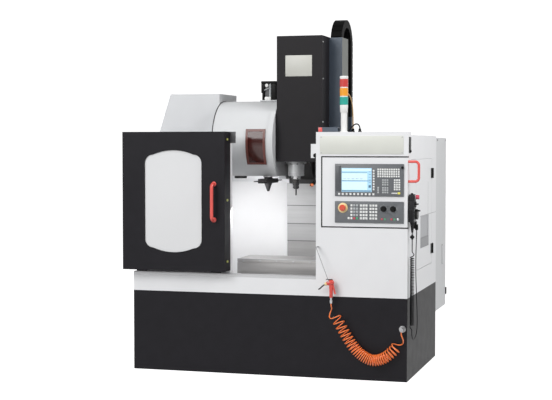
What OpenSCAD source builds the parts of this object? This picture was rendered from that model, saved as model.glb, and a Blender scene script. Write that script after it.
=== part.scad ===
// Vertical machining centre with an arm tool changer, every piece at its real size in millimetres.
// Origin at the centre of the base's bottom face, +X to the right, +Y to the back, +Z up.

/* [Base] */
// Width of the base
base_w = 1750; // [1650:10:1850]
// Depth of the base
base_d = 1030; // [1000:10:1080]
// Height of the base
base_h = 500; // [470:5:504]
// Thickness of the base's plates
base_t = 8; // [5:1:12]

/* [Enclosure] */
// Height of the enclosure panels above the base
enclosure_h = 990; // [940:10:1020]
// Sheet thickness of panels and covers
sheet = 4; // [3:1:5]
// Height of the white band under the door
apron_h = 100; // [90:5:110]
// Height of the door's sill rail
sill_h = 20; // [16:1:24]

/* [Door] */
// Width of the sliding door
door_w = 674; // [600:2:690]
// Height of the sliding door
door_h = 860; // [800:5:880]
// Depth of the sliding door
door_d = 110; // [80:5:120]
// How far the open door stands past the left side of the base
door_overhang = 42; // [20:2:60]
// Width of the door's window
window_w = 384; // [300:2:420]
// Height of the door's window
window_h = 642; // [560:2:680]
// How far the window's top and bottom edges bulge
window_bulge = 26; // [10:1:40]

/* [Control tower] */
// Width of the control tower
tower_w = 561; // [540:1:600]
// Depth of the control tower
tower_d = 110; // [100:2:116]
// Height of the hinged operator panel
panel_h = 415; // [400:5:430]
// Width of the screen unit and the machine panel
unit_w = 420; // [400:5:440]

/* [Table] */
// Length of the table
table_l = 700; // [600:10:760]
// Width of the table
table_w = 270; // [250:5:290]
// Height of the table's top above the base
table_rise = 195; // [190:1:210]
// Width of a T-slot's neck
t_slot_w = 14; // [10:1:18]

/* [Head] */
// Place of the spindle axis to the right of the middle
spindle_x = 85; // [75:1:90]
// Place of the spindle axis, back from the middle
spindle_y = -140; // [-150:1:-130]
// Width of the head cover to the right of the spindle axis
head_right = 195; // [180:1:205]
// Height of the head cover
head_h = 790; // [700:10:820]
// Height of the head cover's lower edge above the base
head_rise = 810; // [805:1:830]
// Diameter of the spindle nose
nose_d = 104; // [90:1:120]
// Travel of the head
z_travel = 370; // [300:5:375]

/* [Tool changer] */
// Radius of the barrel cover
barrel_r = 262; // [255:1:270]
// Length of the barrel cover
barrel_l = 400; // [380:5:420]
// Distance from the arm's axis to the spindle and to the pot
arm_reach = 185; // [180:1:190]
// Number of pots on the magazine disc
pots = 12; // [8:1:12]

/* [Energy chain] */
// Outer radius of the chain's bend
chain_r = 160; // [150:1:165]
// Thickness of the chain
chain_t = 50; // [40:1:60]
// Width of the chain
chain_w = 72; // [60:1:74]

/* [Cabinet] */
// Width of the electrical cabinet
cabinet_w = 600; // [500:10:620]
// Depth of the electrical cabinet
cabinet_d = 415; // [350:5:450]
// Height of the cabinet's floor above the ground
cabinet_z = 300; // [250:10:400]

/* [Hidden] */
$fn = 64;

// Overrun of cuts, gap of sliding fits and gap round doors and panels
over = 1;
fit = 0.5;
seam = 3;

// Main planes
x_right = base_w / 2;
x_left = -x_right;
y_back = base_d / 2;
y_front = -y_back;
enclosure_z = base_h + enclosure_h;
table_z = base_h + table_rise;
head_z = base_h + head_rise;

// Bed, rails and saddle
floor_t = 12;
bed_half = 200;
bed_front = 260;
bed_back = 630;
bed_rise = 10;
bed_z = base_h + bed_rise;
core_r = 60;
bed_core_shares = [0.2, 0.5, 0.8];
rail_w = 20;
rail_t = 14;
rail_groove = 3;
y_rail_half = 215;
y_rail_x = 150;
jaw_w = 14;
jaw_l = 70;
saddle_in = 5;
saddle_half = table_l / 2 - saddle_in;
saddle_w = 230;
saddle_gap = 2;
saddle_t = 64;
saddle_z0 = bed_z + rail_t + saddle_gap;
saddle_z1 = saddle_z0 + saddle_t;
y_block = 60;
x_block = 90;
x_rail_y = 75;
x_rail_end = 5;

// Table
table_t = 75;
skirt_h = 20;
skirt_t = 18;
t_slots = 3;
t_slot_pitch = 70;
t_head_w = 24;
t_head_t = 9;
t_neck = 12;
lip_z = 20;
lip_h = 6;
lip_d = 5;

// Column
column_half = 145;
column_y0 = 215;
column_y1 = 490;
column_h = 1290;
column_z1 = bed_z + column_h;
column_taper = 60;
column_lower_h = 390;
column_step = bed_z + column_lower_h;
column_core_shares = [0.3, 0.55, 0.8];
z_rail_x = 75;
z_rail_up = 190;
z_rail_down = 20;
z_rail_z0 = bed_z + z_rail_up;
z_rail_z1 = column_z1 - z_rail_down;
z_motor = 120;
z_motor_h = 180;

// Sliding cover of the Z axis, four leaves
cover_half = 150;
leaf_t = 3;
leaf_lap = 12;
leaf_rise = [0, 268, 382, 503];
leaf_z = [for (rise = leaf_rise) bed_z + rise];
plate_drop = 147;
head_plate_z0 = head_z - plate_drop;
leaf_gap = fit;
leaf_back = 7.5;
leaf_y = [for (i = [0:3]) column_y0 - rail_t - leaf_back - i * (leaf_t + leaf_gap)];

// Head
head_left = 100;
head_front = 95;
head_x0 = spindle_x - head_left;
head_x1 = spindle_x + head_right;
head_y0 = spindle_y - head_front;
plate_half = 100;
plate_y0 = 60;
plate_up = 390;
plate_z1 = head_z + plate_up;
plate_y1 = column_y0 - rail_t - fit;
arm_half = 90;
arm_h = 250;
motor_half = 65;
motor_h = 300;
block_h = 80;
block_z_shares = [0.12, 0.8];
gusset = 120;

// Spindle, stacked downwards from the head
flange_d = 132;
flange_h = 13;
nose_h = 80;
shaft_d = 60;
shaft_run = 0.3;
collar_h = 20;
shaft_up = 120;
holder_d = 46;
holder_h = 25;
groove_d = 38;
groove_h = 8;
groove_z = 9;
nut_d = 38;
nut_tip_d = 30;
nut_h = 38;
cutter_d = 10;
cutter_h = 40;
flange_z = head_z + over - flange_h;
nose_z = flange_z - nose_h;
collar_z = nose_z - collar_h;
holder_z = collar_z - holder_h;
finger_z = holder_z + groove_z + over;

// Coolant nozzle
nozzle_r = 11;
nozzle_step = 13;
nozzle_drop = 3;
nozzle_beads = 10;
nozzle_x = 86;
nozzle_up = 22;
nozzle_tip_l = 34;
nozzle_tip_r = 4;

// Duct and energy chain
duct_w = 84;
duct_y0 = -50;
duct_d = 163;
duct_up = 90;
duct_z0 = head_z + duct_up;
duct_x1 = head_x1 + duct_w;
chain_x0 = head_x1 + (duct_w - chain_w) / 2;
chain_y = duct_y0 + sheet + fit + chain_r;
chain_down = 38;
chain_z = head_z + head_h - chain_down;
chain_front_l = 262;
chain_rear_l = 502;
link_step = 15;
link_slit = 4;
link_deep = 9;
tray_h = 260;
tray_down = 462;
tray_z1 = chain_z - tray_down;
tray_d = chain_t + 2 * fit + 2 * sheet;
tray_y0 = chain_y + chain_r + fit + sheet - tray_d;
tray_bar = 40;

// Tool changer
arm_x = spindle_x - arm_reach;
pot_x = arm_x - arm_reach;
barrel_gap = 10;
barrel_off = 95;
barrel_up = 125;
barrel_x1 = head_x0 - barrel_gap;
barrel_x0 = barrel_x1 - barrel_l;
barrel_y = spindle_y + barrel_off;
barrel_z = head_z + barrel_up;
mouth_half = 138;
barrel_cut_z = barrel_z - sqrt(pow(barrel_r - sheet, 2) - pow(mouth_half, 2));
barrel_back = 145;
ring_w = 27;
ring_t = 4;
glass_in = 167;
glass_x0 = barrel_x1 - glass_in;
glass_w = 115;
glass_low = -136;
glass_high = 73;
glass_lap = 6;
glass_t = 4;
hood_in = 25;
hood_slope_w = 88;
hood_x0 = x_left + hood_in;
hood_top_x0 = hood_x0 + hood_slope_w;
hood_front = -108;
hood_back = 247;
hood_up = 310;
hood_slope_up = 30;
hood_z1 = barrel_z + hood_up;
hood_slope_z = barrel_z + hood_slope_up;
gear_left = 80;
gear_x0 = arm_x - gear_left;
gear_w = 140;
gear_front = -133;
gear_back = 145;
gear_clear = 9.4;
gear_up = 125;
bracket_w = 50;
bracket_lap = 115;
bracket_down = 245;
bracket_h = 230;
bracket_y1 = column_y0 + bracket_lap;
bracket_z0 = barrel_z - bracket_down;
bracket_z1 = bracket_z0 + bracket_h;
bracket_r = 90;
axle_r = 22;
axle_run = 0.3;
axle_case_r = 45;
disc_r = 195;
disc_t = 12;
disc_hub_r = 60;
disc_hub_l = 45;
pot_circle = 160;
pot_r = 28;
pot_l = 63;
pot_bore = 17;
ready_r = 40;
ready_bore = 25;
ready_up = 4;
ready_z0 = collar_z + ready_up;
ready_h = 86;
pot_pivot_up = 93;
pot_pivot_z = ready_z0 + pot_pivot_up;
pot_pin_r = 6;
pot_ear = 12;
pot_lug_t = 8;
quill_r = 32;
quill_h = 160;
quill_down = 15;
arm_shaft_r = 20;
arm_shaft_up = 140;
arm_bar_w = 60;
arm_bar_t = 28;
arm_bar_half = 125;
finger_t = groove_h - 2 * over;
arm_bar_z0 = finger_z + finger_t / 2 - arm_bar_t / 2;
gear_over_arm = 25;
gear_low = barrel_z - sqrt(pow(barrel_r - sheet - gear_clear, 2) - pow(gear_front, 2));
gear_z0 = max(arm_bar_z0 + arm_bar_t + gear_over_arm, gear_low);
gear_z1 = barrel_z + gear_up;
finger_half = 30;
finger_root = 100;
finger_slot = 22;
finger_wall = 9;
hub_r = 26;
hub_tip_r = 7;
hub_h = 53;

// Air service unit on the barrel
air_off = 16;
air_x = arm_x - air_off;
air_block = [34, 44, 60];
air_bowl_r = 15;
air_bowl_h = 58;
air_cap_r = 16;
air_cap_h = 34;
air_plate = [120, 60, 8];

// Door
door_x0 = x_left - door_overhang;
door_x1 = door_x0 + door_w;
door_in = 35;
door_y1 = y_front + door_in;
door_y0 = door_y1 - door_d;
runner_h = 17;
sill_z = base_h + apron_h + sill_h;
door_z0 = sill_z + runner_h;
door_z1 = door_z0 + door_h;
door_lip = 25;
runner_l = 60;
runner_in = 6;
runner_y0 = y_front + runner_in;
runner_w = 24;
runner_in_share = 0.09;
window_x_share = 0.5;
window_z_share = 0.5;
window_x = door_x0 + door_w * window_x_share;
window_z = door_z0 + door_h * window_z_share;
window_corner = 60;
window_lap = 18;
window_t = 5;
window_arc_steps = 10;
handle_r = 10;
handle_l = 220;
handle_reach = 45;
handle_bend = 24;
handle_in = 69;
handle_up = 319;
handle_z = door_z0 + handle_up;
buffer_r = 7;
buffer_t = 6;
buffer_in = 45;
buffer_z_shares = [0.07, 0.51, 0.945];

// Left panel, guide rail and sill
panel_back = 50;
panel_front = y_front + panel_back;
panel_return = 45;
left_gap = 7;
left_x1 = door_x1 - left_gap;
guide_h = 12;
guide_down = 57;
guide_z = door_z1 - guide_down;
guide_in = 12;
shoe_l = 50;
shoe_in = 52;
shoe_h = 32;
stop_w = 50;
stop_in = 12;
stop_h = 70;
apron_d = 85;
sill_d = 45;
sill_bead = 5;
sill_lead = 4;

// Inner walls
splash_left = 335;
splash_right = 25;
splash_h = 660;
splash_x0 = x_left + splash_left;
splash_x1 = x_right - splash_right;
splash_y = column_y0 - rail_t - fit - sheet;
splash_z1 = bed_z + splash_h;

// Tower and operator panel
tower_x0 = x_right - tower_w;
tower_y1 = y_front + tower_d;
tower_rise = 3;
tower_z1 = enclosure_z + tower_rise;
panel_left = 40;
panel_down = 153;
panel_seam = 8;
panel_x0 = tower_x0 + panel_left;
panel_z1 = tower_z1 - panel_down;
panel_z0 = panel_z1 - panel_h;
panel_return_d = 40;
pivot_in = 7;
pivot_back = 8;
pivot_r = 3;
pivot_run = 0.2;
pivot_deep = 10;
pivot_l = panel_seam + pivot_deep;
lug = [14, 11, 12];
box_in = 36;
box_right = 13;
box_edge = 20;
box_d = 70;
plate_in = 25;
plate_top = 24;
plate_h = 108;
plate_t = 2;
switch_w = 44;
switch_d = 45;
switch_h = 85;
switch_back = 45;
switch_down = 72;
switch_knob_r = 10;
switch_knob_l = 6;
switch_knob_in = 15;

// Screen unit and machine panel
unit_t = 6;
unit_right = 22;
unit_x1 = x_right - unit_right;
unit_x0 = unit_x1 - unit_w;
screen_unit_h = 194;
screen_unit_down = 38;
screen_unit_z1 = panel_z1 - screen_unit_down;
machine_h = 130;
machine_up = 23;
machine_z0 = panel_z0 + machine_up;
screen_in = 44;
screen_w = 184;
screen_h = 137;
screen_down = 25;
screen_recess = 2;
key = 10;
key_t = 3;
screen_key_shares = [
  [0.633, 0.17], [0.568, 0.211], [0.063, 0.933], [0.871, 0.495], [0.702, 0.495], [0.702, 0.732],
  [0.633, 0.732]
];
screen_key_counts = [[10, 4], [1, 8], [10, 1], [3, 5], [3, 3], [3, 3], [1, 3]];
screen_key_pitch = [13.8, 15.8, 23.4, 13.8, 13.8, 13.8, 13.8];
machine_key_shares = [[0.245, 0.192], [0.383, 0.192], [0.524, 0.192]];
machine_key_counts = [3, 5];
machine_key_pitch = 17;
estop_x = 50;
estop_z = 90;
estop_ring_r = 30;
estop_r = 19;
estop_h = 22;
estop_crown = 5;
estop_neck_r = 12;
estop_travel = 5;
knob_x = [298, 356];
knob_z = 86;
knob_r = 13;
knob_h = 18;
knob_skirt_r = 17;
knob_skirt_h = 5;
knob_stem_r = 4;
stem_run = 0.3;
stem_l = 12;
grip_r = 8;
grip_l = 118;
grip_reach = 63;
grip_bend = 22;
grip_down = 24;
grip_back = 22;

// Right side panel and its access door
side_down = 15;
side_z1 = enclosure_z - side_down;
access_front = 175;
access_back = 170;
access_up = 140;
access_down = 147;
access_y0 = tower_y1 + access_front;
access_y1 = y_back - access_back;
access_z0 = base_h + access_up;
access_z1 = side_z1 - access_down;
access_return = 20;
hinge_off = 6.5;
hinge_r = 6;
hinge_pin_r = 2.5;
hinge_run = 0.2;
hinge_h = 65;
hinge_leaf_w = 28;
hinge_leaf_t = 3;
hinge_in = [99, 96];
hinge_z = [access_z0 + hinge_in[0], access_z1 - hinge_in[1]];
pane_in = 156;
pane_y0 = access_y0 + pane_in;
pane_w = 301;
pane_up = 127;
pane_z0 = access_z0 + pane_up;
pane_h = 201;
pane_lap = 10;
pane_t = 4;

// Cabinet
cabinet_x1 = x_right;
cabinet_x0 = cabinet_x1 - cabinet_w;
cabinet_y1 = y_back + cabinet_d;
cabinet_down = 26;
cabinet_z1 = enclosure_z - cabinet_down;
cabinet_door_d = 20;
cabinet_hinge_z_shares = [0.12, 0.85];
latch = [8, 28, 48];
latch_up = 70;
mount_in = 16;
mount_t = 6;
channel = [60, 40];
channel_z_shares = [0.33, 0.55, 0.91];
drives = 5;
drive = [80, 180, 320];
drive_gap = 20;
drive_z_share = 0.61;
contactors = 9;
contactor = [45, 85, 90];
contactor_gap = 8;
contactor_z_share = 0.42;
transformer = [170, 160, 190];

// Signal tower and trough on the tower's top
lamp_in = 162;
lamp_back = 45;
lamp_x = tower_x0 + lamp_in;
lamp_y = y_front + lamp_back;
lamps = 3;
lamp_r = 25.5;
lamp_h = 48;
lamp_gap = 6;
pole_r = 18.5;
pole_h = 120;
collar_lamp_h = 43;
lamp_cap_h = 12;
trough = [123, 40, 29];
trough_x = 7;
trough_y = 25;
trough_cap = 27;

// Pendant on the right side
pendant_back = 38;
pendant_y = y_front + pendant_back;
pendant = [34, 80, 178];
pendant_off = 5;
pendant_up = 30;
pendant_z0 = panel_z0 + pendant_up;
pendant_round = 8;
pendant_x0 = x_right + pendant_off;
pendant_pad = [28, 60];
pendant_pad_in = 8;
pendant_face = pendant_x0 + pendant[0];
stop_r = 13;
stop_l = 20;
stop_up = 150;
stop_travel = 4;
selector_r = 17;
selector_l = 18;
selector_up = 108;
dial_r = 31;
dial_l = 16;
dial_up = 48;
dial_crank_r = 5;
dial_crank_l = 14;
dial_crank_share = 0.68;
boot_r = 11;
boot_tip_r = 5;
boot_h = 62;
pendant_cord_x = pendant_x0 + pendant[0] / 2;

// Cords: tube sizes and hand-laid routes in the cord's own plane
lead_d = 6;
lead_sides = 8;
coil_d = 26;
coil_z1 = 785;
coil_z0 = 300;
lead_upper = [[-477, 893], [-477, 870], [-477, 830], [-477, 785]];
lead_route = [
  [-477, 300], [-477, 288], [-472, 272], [-458, 258], [-438, 249], [-414, 246], [-390, 246],
  [-366, 249], [-342, 257], [-321, 271], [-306, 290], [-297, 318], [-298, 360], [-308, 430],
  [-328, 520], [-344, 600], [-352, 680], [-348, 760], [-338, 830], [-330, 876], [-330, 900]
];
lead_end = lead_route[len(lead_route) - 1];
socket_y = lead_end[0];
socket_z0 = lead_end[1];
socket_r = 9;
socket_h = 34;
socket_plate = [26, 44];
socket_plate_up = 8;
hose_d = 70;
hose_sides = 12;
hose_out = 43;
hose_y = y_front - hose_out;
hose_route = [
  [420, 462], [420, 438], [430, 405], [455, 370], [480, 330], [503, 290], [527, 252], [553, 214],
  [584, 180], [618, 153], [652, 136], [687, 130], [721, 136], [755, 153], [788, 180], [815, 210],
  [835, 240], [845, 265], [848, 288], [848, 306]
];
hose_end = hose_route[len(hose_route) - 1];
hose_end_z = hose_end[1];
fitting_tail_r = 8;
fitting_tail = 12;
fitting_x = hose_end[0];
fitting_z = hose_end_z + fitting_tail;
fitting_r = 12;
fitting_l = 52;
fitting_flange_r = 20;
fitting_flange_t = 6;

// Air gun hung at the tower's foot
gun_y = hose_y;
gun_t = 24;
gun_x = hose_route[0][0];
gun_head_r = 30;
gun_grip_w = 26;
gun_grip_h = 112;
gun_nozzle_l = 62;
gun_nozzle_r = 4;
gun_nozzle_tilt = 27.5;
gun_nozzle_down = 22;
gun_inlet_r = 9;
gun_inlet_h = 38;
gun_grip_z0 = hose_route[0][1] + gun_inlet_h;
gun_z1 = gun_grip_z0 + gun_grip_h;
trigger_w = 8;
trigger_l = 60;
trigger_t = 12;
trigger_lean = 15;
trigger_eye_r = 6;
trigger_pin_r = 2.5;
trigger_x = 10;
trigger_down = 4;
trigger_slot_in = 9;
trigger_slot_z0 = 10;
hook_r = 2;
hook_in = 16;
hook_up = 300;
hook_x = tower_x0 + hook_in;
hook_z = base_h + hook_up;
hook_screw_r = 5;
hook_screw_head = 3;
hook_hole_in = 10;
hook_hole_up = 18;

// Shapes used by several pieces
module block(a, b) { translate(a) cube(b - a); }
module along_x(x0, x1) { translate([x0, 0, 0]) rotate([90, 0, 90]) linear_extrude(x1 - x0) children(); }
module along_y(y0, y1) { translate([0, y1, 0]) rotate([90, 0, 0]) linear_extrude(y1 - y0) children(); }
module along_z(z0, z1) { translate([0, 0, z0]) linear_extrude(z1 - z0) children(); }
module rod_x(r, x0, x1, y, z) { translate([x0, y, z]) rotate([0, 90, 0]) cylinder(r = r, h = x1 - x0); }
module rod_y(r, y0, y1, x, z) { translate([x, y1, z]) rotate([90, 0, 0]) cylinder(r = r, h = y1 - y0); }
module rod_z(r, z0, z1, x, y) { translate([x, y, z0]) cylinder(r = r, h = z1 - z0); }
module rect(a, b) { translate(a) square(b - a); }

// A rail of rectangular section with a ball groove down each side
module rail_section() {
  difference() {
    square([rail_w, rail_t], center = true);
    for (s = [-1, 1]) translate([s * rail_w / 2, 0]) circle(r = rail_groove);
  }
}

// A bar bent into a D, its feet on the plane y = 0 and its grip at y = -reach
module d_handle(length, reach, r, bend) {
  run = reach - bend;
  for (z = [0, length]) translate([0, 0, z]) rotate([90, 0, 0]) cylinder(r = r, h = run);
  translate([0, -reach, bend]) cylinder(r = r, h = length - 2 * bend);
  for (end = [[bend, 180], [length - bend, 90]])
    translate([0, -run, end[0]]) rotate([90, 0, 90]) rotate([0, 0, end[1]])
      rotate_extrude(angle = 90) translate([bend, 0]) circle(r = r);
}

// Outline of a window with bulging ends and round corners, centred, as a list of points
function arc(c, r, a0, a1, n) =
  [for (i = [0:n]) let (a = a0 + (a1 - a0) * i / n) c + r * [cos(a), sin(a)]];
function window_points(w, h, bulge, corner) =
  let (
    half = w / 2 - corner,
    big = (half * half + bulge * bulge) / (2 * bulge),
    lean = asin(half / big),
    z_side = h / 2 - bulge - corner,
    top = arc([0, h / 2 - big], big, 90 - lean, 90 + lean, window_arc_steps),
    left_top = arc([-half, z_side], corner, 90 + lean, 180, window_arc_steps),
    left_low = arc([-half, -z_side], corner, 180, 270 - lean, window_arc_steps),
    low = arc([0, big - h / 2], big, 270 - lean, 270 + lean, window_arc_steps),
    right_low = arc([half, -z_side], corner, 270 + lean, 360, window_arc_steps),
    right_top = arc([half, z_side], corner, 0, 90 - lean, window_arc_steps)
  )
  concat(top, left_top, left_low, low, right_low, right_top);

// A tube along a flat route: points are [u, z], the plane's own u runs along the unit vector axis
function unit(v) = v / norm(v);
function route_dir(p, i) = unit(p[min(i + 1, len(p) - 1)] - p[max(i - 1, 0)]);
module flat_tube(route, d, axis, origin, sides) {
  n = len(route);
  normal = cross(axis, [0, 0, 1]);
  rings = [
    for (i = [0:n - 1]) let (t = route_dir(route, i), side = axis * t[1] - [0, 0, t[0]])
      for (k = [0:sides - 1])
        origin + axis * route[i][0] + [0, 0, route[i][1]]
        + (side * cos(360 * k / sides) + normal * sin(360 * k / sides)) * d / 2
  ];
  walls = [
    for (i = [0:n - 2]) for (k = [0:sides - 1]) let (m = (k + 1) % sides)
      [i * sides + k, i * sides + m, (i + 1) * sides + m, (i + 1) * sides + k]
  ];
  caps = [[for (k = [sides - 1:-1:0]) k], [for (k = [0:sides - 1]) (n - 1) * sides + k]];
  polyhedron(points = rings, faces = concat(walls, caps));
}

// Base and machine castings
bed_x0 = spindle_x - bed_half;
bed_x1 = spindle_x + bed_half;
bed_y0 = spindle_y - bed_front;
bed_y1 = spindle_y + bed_back;

module base_plinth() {
  color("#2b2b2e") difference() {
    block([x_left, y_front, 0], [x_right, y_back, base_h]);
    block([x_left + base_t, y_front + base_t, floor_t], [x_right - base_t, y_back - base_t, base_h - base_t]);
    block([bed_x0 - fit, bed_y0 - fit, base_h - base_t - over], [bed_x1 + fit, bed_y1 + fit, base_h + over]);
  }
}

module bed_casting() {
  color("#6f7173") difference() {
    block([bed_x0, bed_y0, floor_t], [bed_x1, bed_y1, bed_z]);
    for (s = bed_core_shares)
      rod_x(core_r, bed_x0 - over, bed_x1 + over, bed_y0 + (bed_y1 - bed_y0) * s, base_h / 2);
  }
}

module column_casting() {
  x0 = spindle_x - column_half;
  x1 = spindle_x + column_half;
  color("#6f7173") difference() {
    union() {
      along_x(x0, x1) polygon([
        [column_y0, bed_z], [column_y1, bed_z], [column_y1, column_step],
        [column_y1 - column_taper, column_z1], [column_y0, column_z1]
      ]);
      translate([spindle_x, column_y0 + z_motor, column_z1])
        translate([-z_motor / 2, -z_motor / 2, 0]) cube([z_motor, z_motor, z_motor_h]);
    }
    for (s = column_core_shares)
      rod_y(core_r, column_y1 - 2 * column_taper, column_y1 + over, spindle_x, column_z1 * s);
  }
}

module linear_rails() {
  color("silver") {
    for (s = [-1, 1]) translate([spindle_x + s * y_rail_x, 0, bed_z + rail_t / 2])
      along_y(spindle_y - y_rail_half, spindle_y + y_rail_half) rail_section();
    for (s = [-1, 1]) translate([spindle_x + s * z_rail_x, column_y0 - rail_t / 2, 0])
      along_z(z_rail_z0, z_rail_z1) rail_section();
  }
}

// A carriage jaw pair that straddles a rail lying along Y, its top at height h above the rail's seat
module jaws(h, length) {
  for (s = [-1, 1])
    translate([s * (rail_w + jaw_w + 2 * fit) / 2, 0, fit + (h - fit) / 2])
      cube([jaw_w, length, h - fit], center = true);
}

module saddle() {
  color("#77797b") {
    block([spindle_x - saddle_half, spindle_y - saddle_w / 2, saddle_z0],
          [spindle_x + saddle_half, spindle_y + saddle_w / 2, saddle_z1]);
    for (sx = [-1, 1], sy = [-1, 1])
      translate([spindle_x + sx * y_rail_x, spindle_y + sy * y_block, bed_z]) jaws(saddle_z0 - bed_z, jaw_l);
    for (s = [-1, 1]) translate([0, spindle_y + s * x_rail_y, saddle_z1 + rail_t / 2])
      along_x(spindle_x - saddle_half + x_rail_end, spindle_x + saddle_half - x_rail_end) rail_section();
  }
}

module t_slot() {
  translate([-t_slot_w / 2, -t_neck - t_head_t]) square([t_slot_w, t_neck + t_head_t + over]);
  translate([-t_head_w / 2, -t_neck - t_head_t]) square([t_head_w, t_head_t]);
}

module table() {
  x0 = spindle_x - table_l / 2;
  x1 = spindle_x + table_l / 2;
  y0 = spindle_y - table_w / 2;
  y1 = spindle_y + table_w / 2;
  color("#8d8f90") {
    along_x(x0, x1) difference() {
      union() {
        rect([y0, table_z - table_t], [y1, table_z]);
        for (y = [y0, y1 - skirt_t]) rect([y, table_z - table_t - skirt_h], [y + skirt_t, table_z - table_t]);
      }
      for (i = [0:t_slots - 1])
        translate([spindle_y + (i - (t_slots - 1) / 2) * t_slot_pitch, table_z]) t_slot();
      for (y = [y0 - over, y1 - lip_d])
        rect([y, table_z - lip_z - lip_h], [y + lip_d + over, table_z - lip_z]);
    }
    for (sx = [-1, 1], sy = [-1, 1])
      translate([spindle_x + sx * x_block, spindle_y + sy * x_rail_y, saddle_z1])
        rotate([0, 0, 90]) jaws(table_z - table_t - saddle_z1, jaw_l);
  }
}

// Enclosure
module front_apron() {
  color("#e9eaec") along_x(x_left, tower_x0) difference() {
    rect([y_front, base_h], [y_front + apron_d, base_h + apron_h]);
    rect([y_front + sheet, base_h - over], [y_front + apron_d - sheet, base_h + apron_h - sheet]);
  }
}

module door_rail() {
  z = base_h + apron_h;
  color("#9b9da0") along_x(x_left, tower_x0) {
    rect([y_front, z], [y_front + sill_d, z + sill_h - sill_lead]);
    rect([y_front + sill_bead, z + sill_h - sill_lead], [y_front + sill_d - sill_bead, z + sill_h]);
  }
}

module left_panel() {
  z = base_h + apron_h;
  color("#e9eaec") {
    block([x_left, panel_front, z], [left_x1, panel_front + sheet, enclosure_z]);
    block([left_x1 - sheet, panel_front, z], [left_x1, panel_front + panel_return, enclosure_z]);
    block([x_left, panel_front, z], [x_left + sheet, y_front + apron_d, enclosure_z]);
    block([x_left, y_front + apron_d, base_h], [x_left + sheet, y_back - 2 * sheet, enclosure_z]);
  }
}

module rear_wall() {
  color("#e9eaec") difference() {
    block([x_left, y_back - 2 * sheet, base_h], [x_right, y_back, side_z1]);
    block([spindle_x - column_half - seam, y_back - 3 * sheet, side_z1 - column_half],
          [spindle_x + column_half + seam, y_back + over, side_z1 + over]);
  }
}

module right_side_panel() {
  color("#e9eaec") difference() {
    block([x_right - sheet, tower_y1, base_h], [x_right, y_back - 2 * sheet, side_z1]);
    block([x_right - 2 * sheet, access_y0, access_z0], [x_right + over, access_y1, access_z1]);
  }
}

// Inner walls round the table, with the fixed leaf of the Z cover
module inner_splash() {
  color("#f2f2f3") {
    block([splash_x0, y_front + apron_d, base_h], [splash_x0 + sheet, splash_y, barrel_cut_z]);
    block([splash_x0, splash_y, bed_z], [spindle_x - cover_half - seam, splash_y + sheet, splash_z1]);
    block([spindle_x + cover_half + seam, splash_y, bed_z], [splash_x1, splash_y + sheet, splash_z1]);
    block([spindle_x - cover_half, leaf_y[0] - leaf_t, bed_z],
          [spindle_x + cover_half, leaf_y[0], leaf_z[1] + leaf_lap]);
  }
}

// Control tower with its bare plate, its switch box and the pivots of the operator panel
pivot_x = panel_x0 + pivot_in;
pivot_y = y_front + pivot_back;
module pivot_lug(z, up) {
  translate([pivot_x, pivot_y, z]) mirror([0, 0, up ? 0 : 1]) {
    translate([-lug[0] / 2, sheet - pivot_back, 0]) cube([lug[0], lug[1], lug[2]]);
    translate([0, 0, -pivot_l]) cylinder(r = pivot_r, h = pivot_l + over);
  }
}

module control_tower() {
  color("#e9eaec") {
    difference() {
      block([tower_x0, y_front, base_h], [x_right, tower_y1, tower_z1]);
      block([tower_x0 + sheet, y_front + sheet, base_h - over],
            [x_right - sheet, tower_y1 - sheet, tower_z1 - sheet]);
      block([panel_x0 - panel_seam, y_front - over, panel_z0 - panel_seam],
            [x_right + over, y_front + panel_return_d + seam, panel_z1 + panel_seam]);
    }
    block([tower_x0 + plate_in, y_front - plate_t, tower_z1 - plate_top - plate_h],
          [x_right - plate_in, y_front, tower_z1 - plate_top]);
    pivot_lug(panel_z1 + panel_seam, true);
    pivot_lug(panel_z0 - panel_seam, false);
    block([tower_x0 - switch_w, y_front + switch_back, tower_z1 - switch_down - switch_h],
          [tower_x0, y_front + switch_back + switch_d, tower_z1 - switch_down]);
    rod_y(switch_knob_r, y_front + switch_back - switch_knob_l, y_front + switch_back,
          tower_x0 - switch_knob_in, tower_z1 - switch_down - switch_h + switch_knob_in);
  }
}

module signal_tower() {
  z_lamp = tower_z1 + pole_h + collar_lamp_h;
  color("#f0f0f0") {
    rod_z(pole_r, tower_z1, tower_z1 + pole_h, lamp_x, lamp_y);
    rod_z(lamp_r, tower_z1 + pole_h, z_lamp, lamp_x, lamp_y);
    for (i = [0:lamps - 1]) {
      z = z_lamp + i * (lamp_h + lamp_gap);
      rod_z(lamp_r, z, z + lamp_h, lamp_x, lamp_y);
      rod_z(lamp_r - over, z + lamp_h, z + lamp_h + lamp_gap, lamp_x, lamp_y);
    }
    z_cap = z_lamp + lamps * (lamp_h + lamp_gap);
    rod_z(lamp_r, z_cap, z_cap + lamp_cap_h, lamp_x, lamp_y);
  }
}

module lamp_trough() {
  x = tower_x0 + trough_x;
  y = y_front + trough_y;
  color("#5d6b78") difference() {
    translate([x, y, tower_z1]) cube(trough);
    translate([x + trough_cap, y + sheet, tower_z1 + sheet])
      cube([trough[0] - trough_cap + over, trough[1] - 2 * sheet, trough[2] - 2 * sheet]);
  }
}

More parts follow.
